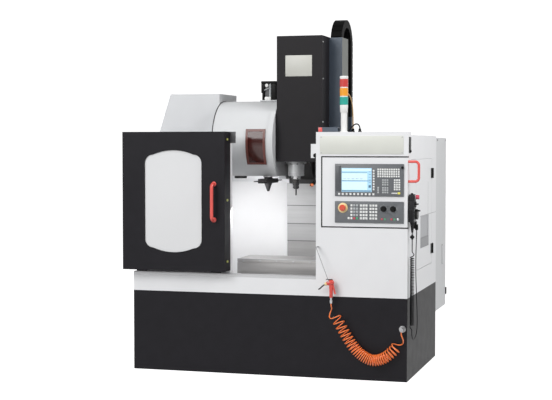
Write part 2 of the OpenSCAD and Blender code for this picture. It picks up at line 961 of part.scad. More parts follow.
// Electrical cabinet hung on the rear wall
cabinet_hinge_x = cabinet_x0 - 2 * hinge_off;
cabinet_hinge_y = cabinet_y1 + cabinet_door_d / 2;
module cabinet_knuckles(moving) {
  for (s = cabinet_hinge_z_shares) {
    z = cabinet_z + (cabinet_z1 - cabinet_z) * s;
    difference() {
      union() {
        rod_z(hinge_r, moving ? z + fit : z - hinge_h / 2, moving ? z + hinge_h / 2 : z,
              cabinet_hinge_x, cabinet_hinge_y);
        if (moving)
          block([cabinet_hinge_x, cabinet_hinge_y, z + fit],
                [cabinet_x0 + seam, cabinet_hinge_y + hinge_leaf_t, z + hinge_h / 2]);
        else {
          block([cabinet_hinge_x, cabinet_hinge_y - hinge_leaf_t, z - hinge_h / 2],
                [cabinet_x0 - hinge_leaf_t, cabinet_hinge_y, z]);
          block([cabinet_x0 - hinge_leaf_t, cabinet_y1 - hinge_leaf_w, z - hinge_h / 2],
                [cabinet_x0, cabinet_hinge_y, z]);
        }
      }
      if (moving) rod_z(hinge_pin_r + hinge_run, z - over, z + hinge_h, cabinet_hinge_x, cabinet_hinge_y);
    }
    if (!moving) rod_z(hinge_pin_r, z - over, z + hinge_h / 2, cabinet_hinge_x, cabinet_hinge_y);
  }
}

// Mounting plate in the cabinet with wiring channels, axis drives, contactors and a transformer
module cabinet_gear() {
  x0 = cabinet_x0 + sheet + mount_in;
  x1 = cabinet_x1 - sheet - mount_in;
  y0 = y_back + sheet;
  y1 = y0 + mount_t;
  span = cabinet_z1 - cabinet_z;
  block([x0, y0, cabinet_z + sheet], [x1, y1, cabinet_z1 - sheet - mount_in]);
  for (s = channel_z_shares)
    translate([x0, y1, cabinet_z + span * s]) cube([x1 - x0, channel[0], channel[1]]);
  for (i = [0:drives - 1])
    translate([x0 + drive_gap + i * (drive[0] + drive_gap), y1, cabinet_z + span * drive_z_share])
      cube(drive);
  for (i = [0:contactors - 1])
    translate([x0 + drive_gap + i * (contactor[0] + contactor_gap), y1, cabinet_z + span * contactor_z_share])
      cube(contactor);
  translate([x1 - transformer[0] - drive_gap, y1, cabinet_z + sheet]) cube(transformer);
}

module electrical_cabinet() {
  color("#d9dbdd") {
    difference() {
      block([cabinet_x0, y_back, cabinet_z], [cabinet_x1, cabinet_y1, cabinet_z1]);
      block([cabinet_x0 + sheet, y_back + sheet, cabinet_z + sheet],
            [cabinet_x1 - sheet, cabinet_y1 + over, cabinet_z1 - sheet]);
    }
    cabinet_gear();
    cabinet_knuckles(false);
  }
}

module cabinet_door() {
  y0 = cabinet_y1 + fit;
  color("#d9dbdd") {
    difference() {
      block([cabinet_x0 + seam, y0, cabinet_z + seam],
            [cabinet_x1 - seam, y0 + cabinet_door_d, cabinet_z1 - seam]);
      block([cabinet_x0 + seam + sheet, y0 - over, cabinet_z + seam + sheet],
            [cabinet_x1 - seam - sheet, y0 + cabinet_door_d - sheet, cabinet_z1 - seam - sheet]);
    }
    cabinet_knuckles(true);
    translate([cabinet_x1 - seam, cabinet_y1 + fit, cabinet_z + latch_up]) cube(latch);
  }
}

// Tool changer covers and casting
module barrel_section(r) {
  intersection() {
    translate([barrel_y, barrel_z]) circle(r = r);
    rect([barrel_y - 2 * r, barrel_cut_z], [barrel_y + barrel_back, barrel_z + 2 * r]);
  }
}

module barrel_shell(r, t) {
  difference() {
    barrel_section(r);
    translate([barrel_y, barrel_z]) circle(r = r - t);
  }
}

module magazine_cover() {
  color("#e4e5e7") {
    difference() {
      union() {
        along_x(barrel_x0, barrel_x1) barrel_shell(barrel_r, sheet);
        along_x(barrel_x0, barrel_x0 + sheet) barrel_section(barrel_r);
        along_x(barrel_x1 - sheet, barrel_x1) barrel_section(barrel_r);
      }
      rod_x(axle_r + axle_run, barrel_x0 - over, barrel_x0 + sheet + over, barrel_y, barrel_z);
      block([glass_x0, barrel_y - 2 * barrel_r, barrel_z + glass_low],
            [glass_x0 + glass_w, barrel_y, barrel_z + glass_high]);
    }
    along_x(barrel_x1 - ring_w, barrel_x1) barrel_shell(barrel_r + ring_t, ring_t);
  }
}

module magazine_window() {
  r = barrel_r + fit + glass_t;
  color("#5a2318") along_x(glass_x0 - glass_lap, glass_x0 + glass_w + glass_lap) intersection() {
    barrel_shell(r, glass_t);
    rect([barrel_y - 2 * r, barrel_z + glass_low - glass_lap], [barrel_y, barrel_z + glass_high + glass_lap]);
  }
}

module hood_outline(t) {
  polygon([
    [hood_x0 + t, barrel_cut_z - (t > 0 ? over : 0)], [barrel_x0 - t, barrel_cut_z - (t > 0 ? over : 0)],
    [barrel_x0 - t, hood_z1 - t], [hood_top_x0 + t, hood_z1 - t], [hood_x0 + t, hood_slope_z]
  ]);
}

module magazine_housing() {
  color("#dcdee0") difference() {
    along_y(barrel_y + hood_front, barrel_y + hood_back) hood_outline(0);
    along_y(barrel_y + hood_front + sheet, barrel_y + hood_back - sheet) hood_outline(sheet);
  }
}

module change_unit() {
  y0 = barrel_y + gear_front;
  y1 = barrel_y + gear_back;
  x1 = gear_x0 + gear_w;
  column_x = spindle_x - column_half;
  lug_out = ready_r + fit + pot_lug_t;
  color("#b9bcbe") difference() {
    union() {
      block([gear_x0, y0, gear_z0], [x1, y1, gear_z1]);
      rod_x(axle_case_r, gear_x0 - arm_reach + pot_r, gear_x0, barrel_y, barrel_z);
      rod_x(axle_r, barrel_x0, gear_x0, barrel_y, barrel_z);
      along_x(column_x - bracket_w, column_x) difference() {
        rect([y1 - bracket_w, bracket_z0], [bracket_y1, bracket_z1]);
        translate([y1 - bracket_w, bracket_z0]) circle(r = bracket_r);
      }
      for (s = [-1, 1]) translate([0, s * (lug_out - pot_lug_t / 2), 0])
        block([pot_x - pot_ear, spindle_y - pot_lug_t / 2, pot_pivot_z - pot_ear],
              [gear_x0, spindle_y + pot_lug_t / 2, pot_pivot_z + pot_ear]);
      rod_y(pot_pin_r, spindle_y - lug_out, spindle_y + lug_out, pot_x, pot_pivot_z);
    }
    rod_z(quill_r + axle_run, gear_z0 - over, gear_z0 + quill_h + over, arm_x, spindle_y);
  }
}

module magazine_disc() {
  x0 = barrel_x0 + disc_t;
  color("#4a4c4f") difference() {
    union() {
      rod_x(disc_r, x0, x0 + disc_t, barrel_y, barrel_z);
      rod_x(disc_hub_r, x0, x0 + disc_hub_l, barrel_y, barrel_z);
      for (i = [0:pots - 1])
        rod_x(pot_r, x0 + disc_t, x0 + disc_t + pot_l,
              barrel_y + pot_circle * cos(360 * i / pots), barrel_z + pot_circle * sin(360 * i / pots));
    }
    rod_x(axle_r + axle_run, x0 - over, x0 + disc_hub_l + over, barrel_y, barrel_z);
    for (i = [0:pots - 1])
      rod_x(pot_bore, x0 + disc_t, x0 + disc_t + pot_l + over,
            barrel_y + pot_circle * cos(360 * i / pots), barrel_z + pot_circle * sin(360 * i / pots));
  }
}

module tool_pot() {
  color("#2a2a2c") difference() {
    union() {
      rod_z(ready_r, ready_z0, ready_z0 + ready_h, pot_x, spindle_y);
      rod_y(pot_ear, spindle_y - ready_r, spindle_y + ready_r, pot_x, pot_pivot_z);
    }
    rod_z(ready_bore, ready_z0 - over, ready_z0 + ready_h - pot_ear, pot_x, spindle_y);
    rod_y(pot_pin_r + axle_run, spindle_y - ready_r - over, spindle_y + ready_r + over, pot_x, pot_pivot_z);
  }
}

module arm_quill() {
  color("silver") difference() {
    rod_z(quill_r, gear_z0 - quill_down, gear_z0 + quill_h - quill_down, arm_x, spindle_y);
    rod_z(arm_shaft_r + axle_run, gear_z0 - quill_down - over, gear_z0 + quill_h, arm_x, spindle_y);
  }
}

module finger() {
  difference() {
    rect([finger_root, -finger_half], [arm_reach + finger_slot + finger_wall, finger_half]);
    translate([arm_reach, 0]) circle(r = finger_slot);
    rect([arm_reach - finger_slot, 0], [arm_reach + finger_slot, finger_half + over]);
  }
}

module tool_arm() {
  z0 = arm_bar_z0;
  z1 = gear_z0 - quill_down - fit;
  color("#3a3b3d") translate([arm_x, spindle_y, 0]) {
    rotate([0, 0, -90]) {
      along_z(z0, z0 + arm_bar_t) rect([-arm_bar_half, -arm_bar_w / 2], [arm_bar_half, arm_bar_w / 2]);
      for (a = [0, 180]) rotate([0, 0, a]) along_z(finger_z, finger_z + finger_t) finger();
    }
    translate([0, 0, z0 - hub_h]) cylinder(r1 = hub_tip_r, r2 = hub_r, h = hub_h);
    translate([0, 0, z0]) cylinder(r = hub_r, h = z1 - z0);
    translate([0, 0, z1]) cylinder(r = arm_shaft_r, h = arm_shaft_up);
  }
}

module air_service_unit() {
  z = barrel_z + barrel_r;
  color("#1f1f21") {
    translate([air_x - air_plate[0] / 2, barrel_y - air_plate[1] / 2, z]) cube(air_plate);
    translate([air_x, barrel_y, z + air_plate[2]]) {
      for (s = [-1, 1]) translate([s * air_block[0] / 2, 0, 0]) {
        cylinder(r = air_bowl_r, h = air_bowl_h);
        translate([-air_block[0] / 2, -air_block[1] / 2, air_bowl_h])
          cube([air_block[0], air_block[1], air_block[2] / 2]);
        translate([0, 0, air_bowl_h + air_block[2] / 2]) cylinder(r = air_cap_r, h = air_cap_h);
      }
    }
  }
}

// Head, spindle and what moves with the head
module head_casting() {
  z0 = head_z + over;
  color("#2c2c2f") {
    block([spindle_x - plate_half, plate_y0, head_plate_z0], [spindle_x + plate_half, plate_y1, plate_z1]);
    difference() {
      block([spindle_x - arm_half, head_y0 + 2 * sheet, z0], [spindle_x + arm_half, plate_y0, z0 + arm_h]);
      rod_z(shaft_d / 2 + 2 * over, z0 - over, z0 + shaft_up, spindle_x, spindle_y);
    }
    block([spindle_x - motor_half, spindle_y - motor_half, z0 + arm_h],
          [spindle_x + motor_half, spindle_y + motor_half, z0 + arm_h + motor_h]);
    along_x(spindle_x - motor_half, spindle_x + motor_half)
      polygon([[plate_y0, z0], [plate_y0 - gusset, z0], [plate_y0, z0 - gusset]]);
    for (sx = [-1, 1], s = block_z_shares)
      translate([spindle_x + sx * z_rail_x, column_y0, head_plate_z0 + (plate_z1 - head_plate_z0) * s])
        rotate([90, 0, 0]) jaws(column_y0 - plate_y1, block_h);
  }
}

module head_cover() {
  z1 = head_z + head_h;
  color("#232326") difference() {
    block([head_x0, head_y0, head_z], [head_x1, plate_y0, z1]);
    block([head_x0 + sheet, head_y0 + sheet, head_z - over], [head_x1 - sheet, plate_y0 + over, plate_z1]);
    block([head_x0 + sheet, head_y0 + sheet, plate_z1 - over],
          [head_x1 - sheet, plate_y0 - sheet, z1 - sheet]);
  }
}

module chain_duct() {
  z1 = head_z + head_h - 2 * over;
  color("#4d5866") difference() {
    block([head_x1, duct_y0, duct_z0], [duct_x1, duct_y0 + duct_d, z1]);
    block([head_x1 + sheet, duct_y0 + sheet, duct_z0 + sheet],
          [duct_x1 - sheet, duct_y0 + duct_d - sheet, z1 + over]);
  }
}

module chain_section() {
  difference() {
    union() {
      intersection() {
        translate([chain_y, chain_z]) circle(r = chain_r);
        rect([chain_y - chain_r, chain_z], [chain_y + chain_r, chain_z + chain_r]);
      }
      rect([chain_y - chain_r, chain_z - chain_front_l], [chain_y - chain_r + chain_t, chain_z]);
      rect([chain_y + chain_r - chain_t, chain_z - chain_rear_l], [chain_y + chain_r, chain_z]);
    }
    translate([chain_y, chain_z]) circle(r = chain_r - chain_t);
    for (a = [0:link_step:180])
      translate([chain_y, chain_z]) rotate([0, 0, a])
        rect([chain_r - link_deep, -link_slit / 2], [chain_r + over, link_slit / 2]);
    pitch = chain_r * link_step * PI / 180;
    for (i = [1:floor(chain_rear_l / pitch)])
      translate([chain_y + chain_r, chain_z - i * pitch])
        rect([-link_deep, -link_slit / 2], [over, link_slit / 2]);
    for (i = [1:floor(chain_front_l / pitch)])
      translate([chain_y - chain_r, chain_z - i * pitch])
        rect([-over, -link_slit / 2], [link_deep, link_slit / 2]);
  }
}

module energy_chain() { color("#161617") along_x(chain_x0, chain_x0 + chain_w) chain_section(); }

module cable_ducts() {
  z0 = tray_z1 - tray_h;
  color("#4d5866") {
    difference() {
      block([head_x1, tray_y0, z0], [duct_x1, tray_y0 + tray_d, tray_z1]);
      block([head_x1 + sheet, tray_y0 + sheet, z0 + sheet],
            [duct_x1 - sheet, tray_y0 + tray_d - sheet, tray_z1 + over]);
    }
    block([spindle_x + column_half, tray_y0, z0], [head_x1, tray_y0 + tray_bar, z0 + tray_bar]);
    lamp_trough();
  }
}

// Moving leaves of the Z cover: leaf 1 is the lowest, leaf 3 hangs from the head
module leaf(i, z1) {
  color("#b4b6b8")
    block([spindle_x - cover_half, leaf_y[i] - leaf_t, leaf_z[i]], [spindle_x + cover_half, leaf_y[i], z1]);
}
module z_cover_lower() { leaf(1, leaf_z[2] + leaf_lap); }
module z_cover_upper() { leaf(2, leaf_z[3] + leaf_lap); }
module z_cover_top() { leaf(3, head_plate_z0); }

module spindle_cartridge() {
  color("#c9cccf") translate([spindle_x, spindle_y, 0]) difference() {
    union() {
      translate([0, 0, flange_z]) cylinder(d = flange_d, h = flange_h);
      translate([0, 0, nose_z]) cylinder(d = nose_d, h = nose_h);
    }
    translate([0, 0, nose_z - over]) cylinder(d = shaft_d + 2 * shaft_run, h = nose_h + flange_h + 2 * over);
  }
}

module spindle_shaft() {
  color("#b5b8bb") translate([spindle_x, spindle_y, collar_z])
    cylinder(d = shaft_d, h = collar_h + nose_h + flange_h + shaft_up - 2 * over);
}

module tool_holder() {
  color("#8f9294") translate([spindle_x, spindle_y, 0]) {
    translate([0, 0, holder_z]) rotate_extrude() polygon([
      [0, 0], [holder_d / 2, 0], [holder_d / 2, groove_z], [groove_d / 2, groove_z],
      [groove_d / 2, groove_z + groove_h], [holder_d / 2, groove_z + groove_h],
      [holder_d / 2, holder_h], [0, holder_h]
    ]);
    translate([0, 0, holder_z - nut_h]) cylinder(d1 = nut_tip_d, d2 = nut_d, h = nut_h);
    translate([0, 0, holder_z - nut_h - cutter_h]) cylinder(d = cutter_d, h = cutter_h);
  }
}

module coolant_nozzle() {
  last = nozzle_beads - 1;
  color("#d2672c") translate([spindle_x + nozzle_x, plate_y0 - nozzle_r, head_plate_z0 + nozzle_up]) {
    for (i = [0:last]) translate([0, -i * nozzle_step, -i * nozzle_drop]) sphere(r = nozzle_r);
    translate([0, -last * nozzle_step, -last * nozzle_drop]) rotate([90, 0, 0])
      cylinder(r1 = nozzle_r - over, r2 = nozzle_tip_r, h = nozzle_tip_l);
  }
}

// Sliding door
module door_panel() {
  color("#2a2a2d") {
    difference() {
      block([door_x0, door_y0, door_z0], [door_x1, door_y1, door_z1]);
      block([door_x0 + sheet, door_y0 + sheet, door_z0 + sheet],
            [door_x1 - sheet, door_y1 - sheet, door_z1 - sheet]);
      block([door_x0 + door_lip, door_y0 + 2 * sheet, door_z0 + door_lip],
            [door_x1 - door_lip, door_y1 + over, door_z1 - door_lip]);
      along_y(door_y0 - over, door_y0 + 2 * sheet) translate([window_x, window_z])
        polygon(window_points(window_w, window_h, window_bulge, window_corner));
    }
    for (x = [door_x0 + door_w * runner_in_share, door_x1 - door_w * runner_in_share - runner_l])
      block([x, runner_y0, sill_z + fit], [x + runner_l, runner_y0 + runner_w, door_z0]);
    difference() {
      block([door_x0 + shoe_in, door_y1 - sheet, guide_z - shoe_h / 2],
            [door_x0 + shoe_in + shoe_l, panel_front - fit, guide_z + shoe_h / 2]);
      block([door_x0 + shoe_in - over, door_y1 + over, guide_z - guide_h / 2 - fit],
            [door_x0 + shoe_in + shoe_l + over, panel_front, guide_z + guide_h / 2 + fit]);
    }
  }
}

module door_window() {
  color("#d5d8da") along_y(door_y0 + sheet, door_y0 + sheet + window_t) translate([window_x, window_z])
    polygon(window_points(window_w + 2 * window_lap, window_h + 2 * window_lap,
                          window_bulge, window_corner + window_lap));
}

module door_handle() {
  color("#c9423a") translate([door_x1 - handle_in, door_y0, handle_z])
    d_handle(handle_l, handle_reach, handle_r, handle_bend);
}

module door_buffers() {
  color("#c8c83c") for (s = buffer_z_shares)
    rod_x(buffer_r, door_x1, door_x1 + buffer_t, door_y0 + buffer_in, door_z0 + door_h * s);
}

module door_guide() {
  color("#55585c") {
    block([x_left + guide_in, panel_front - guide_h, guide_z - guide_h / 2],
          [left_x1 - stop_in, panel_front, guide_z + guide_h / 2]);
    block([left_x1 - stop_in, panel_front - guide_h, door_z1 - stop_h],
          [left_x1 - stop_in + stop_w, panel_front, door_z1]);
  }
}

// Operator panel and what it carries
module operator_panel() {
  color("#e9eaec") {
    difference() {
      union() {
        block([panel_x0, y_front, panel_z0], [x_right, y_front + sheet, panel_z1]);
        block([x_right - sheet, y_front, panel_z0], [x_right, y_front + panel_return_d, panel_z1]);
        for (z = [panel_z0, panel_z1 - sheet])
          block([panel_x0, y_front, z], [x_right, y_front + panel_return_d, z + sheet]);
        block([panel_x0 + box_in, y_front + sheet, panel_z0 + box_edge],
              [x_right - box_right, y_front + sheet + box_d, panel_z1 - box_edge]);
      }
      rod_z(pivot_r + pivot_run, panel_z0 - over, panel_z0 + sheet + over, pivot_x, pivot_y);
      rod_z(pivot_r + pivot_run, panel_z1 - sheet - over, panel_z1 + over, pivot_x, pivot_y);
      for (x = knob_x)
        rod_y(knob_stem_r + stem_run, y_front - over, y_front + stem_l + over,
              unit_x0 + x, machine_z0 + knob_z);
      rod_y(estop_neck_r + stem_run, y_front - over, y_front + stem_l + over,
            unit_x0 + estop_x, machine_z0 + estop_z);
    }
  }
}

// A grid of keys counted right and down from the middle of its first key
module key_grid(x, z, counts, pitch) {
  y0 = y_front - unit_t - key_t;
  for (i = [0:counts[0] - 1], k = [0:counts[1] - 1])
    translate([x + i * pitch - key / 2, y0, z - k * pitch - key / 2]) cube([key, key_t, key]);
}

module control_unit() {
  y0 = y_front - unit_t;
  color("#4b4e52") {
    difference() {
      block([unit_x0, y0, screen_unit_z1 - screen_unit_h], [unit_x1, y_front, screen_unit_z1]);
      block([unit_x0 + screen_in, y0 - over, screen_unit_z1 - screen_down - screen_h],
            [unit_x0 + screen_in + screen_w, y0 + screen_recess, screen_unit_z1 - screen_down]);
    }
    difference() {
      union() {
        block([unit_x0, y0, machine_z0], [unit_x1, y_front, machine_z0 + machine_h]);
        rod_y(estop_ring_r, y0 - key_t, y0, unit_x0 + estop_x, machine_z0 + estop_z);
      }
      for (x = knob_x)
        rod_y(knob_stem_r + stem_run, y0 - over, y_front + over, unit_x0 + x, machine_z0 + knob_z);
      rod_y(estop_neck_r + stem_run, y0 - 2 * key_t, y_front + over, unit_x0 + estop_x, machine_z0 + estop_z);
    }
    for (i = [0:len(screen_key_counts) - 1])
      key_grid(unit_x0 + unit_w * screen_key_shares[i][0],
               screen_unit_z1 - screen_unit_h * screen_key_shares[i][1],
               screen_key_counts[i], screen_key_pitch[i]);
    for (s = machine_key_shares)
      key_grid(unit_x0 + unit_w * s[0], machine_z0 + machine_h * (1 - s[1]),
               machine_key_counts, machine_key_pitch);
  }
}

module panel_handle() {
  color("#c9423a") translate([x_right, y_front + grip_back, panel_z1 - grip_down - grip_l])
    rotate([0, 0, 90]) d_handle(grip_l, grip_reach, grip_r, grip_bend);
}

module estop_button() {
  y0 = y_front - unit_t - key_t - estop_travel;
  color("#c8291f") translate([unit_x0 + estop_x, y0, machine_z0 + estop_z]) rotate([90, 0, 0]) {
    translate([0, 0, -estop_travel - unit_t]) cylinder(r = estop_neck_r, h = estop_travel + unit_t + over);
    cylinder(r = estop_r, h = estop_h / 2);
    translate([0, 0, estop_h / 2]) cylinder(r1 = estop_r, r2 = estop_neck_r, h = estop_crown);
  }
}

module override_knob(i) {
  y0 = y_front - unit_t - fit;
  color("#1b1b1d") translate([unit_x0 + knob_x[i], y0, machine_z0 + knob_z]) rotate([90, 0, 0]) {
    translate([0, 0, -stem_l]) cylinder(r = knob_stem_r, h = stem_l + over);
    cylinder(r = knob_skirt_r, h = knob_skirt_h);
    cylinder(r = knob_r, h = knob_h);
    translate([-knob_stem_r / 2, 0, 0]) cube([knob_stem_r, knob_r + over, knob_h]);
  }
}
module feed_knob() { override_knob(0); }
module speed_knob() { override_knob(1); }

// Access door on the right side
axis_x = x_right + hinge_off;
module side_knuckles(moving) {
  for (z = hinge_z) {
    z0 = moving ? z + fit : z - hinge_h / 2;
    z1 = moving ? z + hinge_h / 2 : z;
    y0 = moving ? access_y1 - hinge_leaf_w : access_y1;
    difference() {
      union() {
        rod_z(hinge_r, z0, z1, axis_x, access_y1);
        block([x_right, y0, z0], [x_right + hinge_leaf_t, y0 + hinge_leaf_w, z1]);
      }
      if (moving) rod_z(hinge_pin_r + hinge_run, z - over, z + hinge_h, axis_x, access_y1);
    }
    if (!moving) rod_z(hinge_pin_r, z - over, z + hinge_h / 2, axis_x, access_y1);
  }
}

module side_hinges() { color("#1c1c1e") side_knuckles(false); }

module side_door() {
  y0 = access_y0 + seam;
  y1 = access_y1 - seam;
  z0 = access_z0 + seam;
  z1 = access_z1 - seam;
  color("#e6e7e9") {
    difference() {
      block([x_right - access_return, y0, z0], [x_right, y1, z1]);
      block([x_right - access_return - over, y0 + sheet, z0 + sheet],
            [x_right - sheet, y1 - sheet, z1 - sheet]);
      block([x_right - 2 * sheet, pane_y0, pane_z0], [x_right + over, pane_y0 + pane_w, pane_z0 + pane_h]);
    }
    side_knuckles(true);
  }
}

module side_window() {
  color("#a9acaf") block([x_right - sheet - pane_t, pane_y0 - pane_lap, pane_z0 - pane_lap],
                         [x_right - sheet, pane_y0 + pane_w + pane_lap, pane_z0 + pane_h + pane_lap]);
}

// Pendant, its sockets and its cord
module pendant_body() {
  z1 = pendant_z0 + pendant[2];
  pad_y = pendant_y + pendant_pad_in;
  color("#19191b") difference() {
    union() {
      along_x(pendant_x0, pendant_face) {
        rect([pendant_y - pendant[1] / 2 + pendant_round, pendant_z0],
             [pendant_y + pendant[1] / 2 - pendant_round, z1]);
        rect([pendant_y - pendant[1] / 2, pendant_z0 + pendant_round],
             [pendant_y + pendant[1] / 2, z1 - pendant_round]);
        for (sy = [-1, 1], z = [pendant_z0 + pendant_round, z1 - pendant_round])
          translate([pendant_y + sy * (pendant[1] / 2 - pendant_round), z]) circle(r = pendant_round);
      }
      block([x_right, pad_y, z1 - pendant_pad[1]], [pendant_x0, pad_y + pendant_pad[0], z1]);
      translate([pendant_cord_x, pendant_y, pendant_z0 - boot_h])
        cylinder(r1 = boot_tip_r, r2 = boot_r, h = boot_h);
    }
    for (u = [stop_up, selector_up, dial_up])
      rod_x(knob_stem_r + stem_run, pendant_face - stem_l, pendant_face + over, pendant_y, pendant_z0 + u);
  }
}

module pendant_stem(l) { translate([-l, 0, 0]) rotate([0, 90, 0]) cylinder(r = knob_stem_r, h = l + over); }

module pendant_stop() {
  color("#c23a4e") translate([pendant_face + stop_travel + fit, pendant_y, pendant_z0 + stop_up]) {
    pendant_stem(stem_l - stop_travel - fit);
    rotate([0, 90, 0]) cylinder(r = stop_r, h = stop_l);
  }
}

module pendant_selector() {
  color("#202022") translate([pendant_face + fit, pendant_y, pendant_z0 + selector_up]) {
    pendant_stem(stem_l - fit);
    rotate([0, 90, 0]) cylinder(r = selector_r, h = selector_l / 3);
    translate([0, -selector_r, -knob_stem_r]) cube([selector_l, 2 * selector_r, 2 * knob_stem_r]);
  }
}

module pendant_dial() {
  color("#202022") translate([pendant_face + fit, pendant_y, pendant_z0 + dial_up]) {
    pendant_stem(stem_l - fit);
    rotate([0, 90, 0]) cylinder(r = dial_r, h = dial_l);
    translate([dial_l, 0, dial_r * dial_crank_share]) rotate([0, 90, 0])
      cylinder(r = dial_crank_r, h = dial_crank_l);
  }
}

module cord_fittings() {
  color("#c2c4c6") {
    translate([pendant_cord_x, socket_y, socket_z0]) cylinder(r = socket_r, h = socket_h);
    block([x_right, socket_y - socket_plate[0] / 2, socket_z0 + socket_plate_up],
          [pendant_cord_x, socket_y + socket_plate[0] / 2, socket_z0 + socket_plate_up + socket_plate[1]]);
    rod_y(fitting_flange_r, y_front - fitting_flange_t, y_front, fitting_x, fitting_z);
    rod_y(fitting_r, hose_y, y_front - fitting_flange_t, fitting_x, fitting_z);
    rod_z(fitting_tail_r, hose_end_z, fitting_z, fitting_x, hose_y);
    gun_hook();
  }
}

module pendant_cord() {
  color("#141415") {
    rod_z(coil_d / 2, coil_z0, coil_z1, pendant_cord_x, pendant_y);
    flat_tube(lead_upper, lead_d, [0, 1, 0], [pendant_cord_x, 0, 0], lead_sides);
    flat_tube(lead_route, lead_d, [0, 1, 0], [pendant_cord_x, 0, 0], lead_sides);
  }
}

module air_hose() { color("#e8682c") flat_tube(hose_route, hose_d, [1, 0, 0], [0, hose_y, 0], hose_sides); }

// Air gun on its wire
gun_head_x = gun_x - gun_grip_w / 2;
gun_head_z = gun_z1 - gun_head_r;
trigger_at = [gun_x + trigger_x, gun_y, gun_head_z - trigger_down];
hook_y = gun_y - gun_t / 2 - hook_r - fit;
hook_end = [gun_head_x, hook_y, gun_head_z + hook_hole_up];

module gun_body() {
  color("#d8332a") {
    difference() {
      union() {
        along_y(gun_y - gun_t / 2, gun_y + gun_t / 2) {
          translate([gun_head_x, gun_head_z]) circle(r = gun_head_r);
          rect([gun_head_x, gun_grip_z0], [gun_x + gun_grip_w / 2, gun_head_z]);
        }
        translate([gun_head_x - gun_grip_w / 2, gun_y, gun_head_z - gun_nozzle_down])
          rotate([0, -gun_nozzle_tilt - 90, 0]) cylinder(r = gun_nozzle_r, h = gun_nozzle_l);
        translate([gun_x, gun_y, gun_grip_z0 - gun_inlet_h])
          cylinder(r = gun_inlet_r, h = gun_inlet_h + over);
      }
      block([gun_x + gun_grip_w / 2 - trigger_slot_in, gun_y - trigger_t / 2 - fit,
             gun_grip_z0 + trigger_slot_z0],
            [gun_x + gun_grip_w, gun_y + trigger_t / 2 + fit, gun_head_z + trigger_slot_z0]);
      rod_y(hook_r + pivot_run, gun_y - gun_t, gun_y - gun_t / 2 + hook_hole_in + fit,
            hook_end[0], hook_end[2]);
    }
    rod_y(trigger_pin_r, gun_y - gun_t / 2, gun_y + gun_t / 2, trigger_at[0], trigger_at[2]);
  }
}

module gun_trigger() {
  color("#3b3b3d") along_y(gun_y - trigger_t / 2, gun_y + trigger_t / 2)
    translate([trigger_at[0], trigger_at[2]]) rotate(trigger_lean) difference() {
      union() {
        circle(r = trigger_eye_r);
        rect([-trigger_w / 2, -trigger_l], [trigger_w / 2, 0]);
      }
      circle(r = trigger_pin_r + pivot_run);
    }
}

module gun_hook() {
  top = [hook_x, hook_y, hook_z];
  span = hook_end - top;
  rod_y(hook_screw_r, hook_y - hook_screw_head, y_front, hook_x, hook_z);
  translate(top) rotate([0, atan2(span[0], span[2]), 0]) cylinder(r = hook_r, h = norm(span) + hook_r);
  rod_y(hook_r, hook_y, gun_y - gun_t / 2 + hook_hole_in, hook_end[0], hook_end[2]);
}

base_plinth();
bed_casting();
column_casting();
linear_rails();
front_apron();
door_rail();
left_panel();
rear_wall();
right_side_panel();
inner_splash();
control_tower();
signal_tower();
cable_ducts();
electrical_cabinet();
magazine_housing();
magazine_cover();
magazine_window();
change_unit();
air_service_unit();
door_guide();
side_hinges();
pendant_body();
cord_fittings();
gun_body();
air_hose();
pendant_cord();
door_panel();
door_window();
door_handle();
door_buffers();
saddle();
table();
head_casting();
head_cover();
chain_duct();
z_cover_top();
spindle_cartridge();
coolant_nozzle();
spindle_shaft();
tool_holder();
energy_chain();
z_cover_upper();
z_cover_lower();
magazine_disc();
tool_pot();
arm_quill();
tool_arm();
operator_panel();
control_unit();
panel_handle();
estop_button();
feed_knob();
speed_knob();
side_door();
side_window();
cabinet_door();
pendant_stop();
pendant_dial();
pendant_selector();
gun_trigger();
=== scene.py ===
"""Vertical machining centre: finishes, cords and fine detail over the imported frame.

Places and sizes are in millimetres, and the helpers turn them into Blender's metres.
"""

import math

import bmesh
import bpy
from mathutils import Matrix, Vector


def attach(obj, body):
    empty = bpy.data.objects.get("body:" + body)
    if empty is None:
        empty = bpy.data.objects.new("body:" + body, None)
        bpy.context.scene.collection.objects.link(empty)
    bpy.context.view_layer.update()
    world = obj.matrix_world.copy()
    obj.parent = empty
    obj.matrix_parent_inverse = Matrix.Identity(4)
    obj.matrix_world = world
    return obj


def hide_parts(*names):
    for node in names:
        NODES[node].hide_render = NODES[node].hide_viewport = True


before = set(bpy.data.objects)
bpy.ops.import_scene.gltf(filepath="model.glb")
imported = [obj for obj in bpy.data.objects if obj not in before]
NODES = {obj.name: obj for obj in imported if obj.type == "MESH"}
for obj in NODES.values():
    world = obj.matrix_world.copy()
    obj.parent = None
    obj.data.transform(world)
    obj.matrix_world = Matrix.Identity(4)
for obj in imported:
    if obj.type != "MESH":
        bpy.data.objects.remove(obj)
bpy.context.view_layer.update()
MM = 0.001


def mm(*values):
    return Vector(v * MM for v in values)


def edge(name, axis, end):
    """A side of a node's box in millimetres; end is 0 for its low side and 1 for its high side."""
    node = NODES[name]
    places = [(node.matrix_world @ vertex.co)[axis] for vertex in node.data.vertices]
    return round((max(places) if end else min(places)) / MM, 2)


def middle(name, axis):
    """The middle of a node's box in millimetres."""
    return round((edge(name, axis, 0) + edge(name, axis, 1)) / 2, 1)


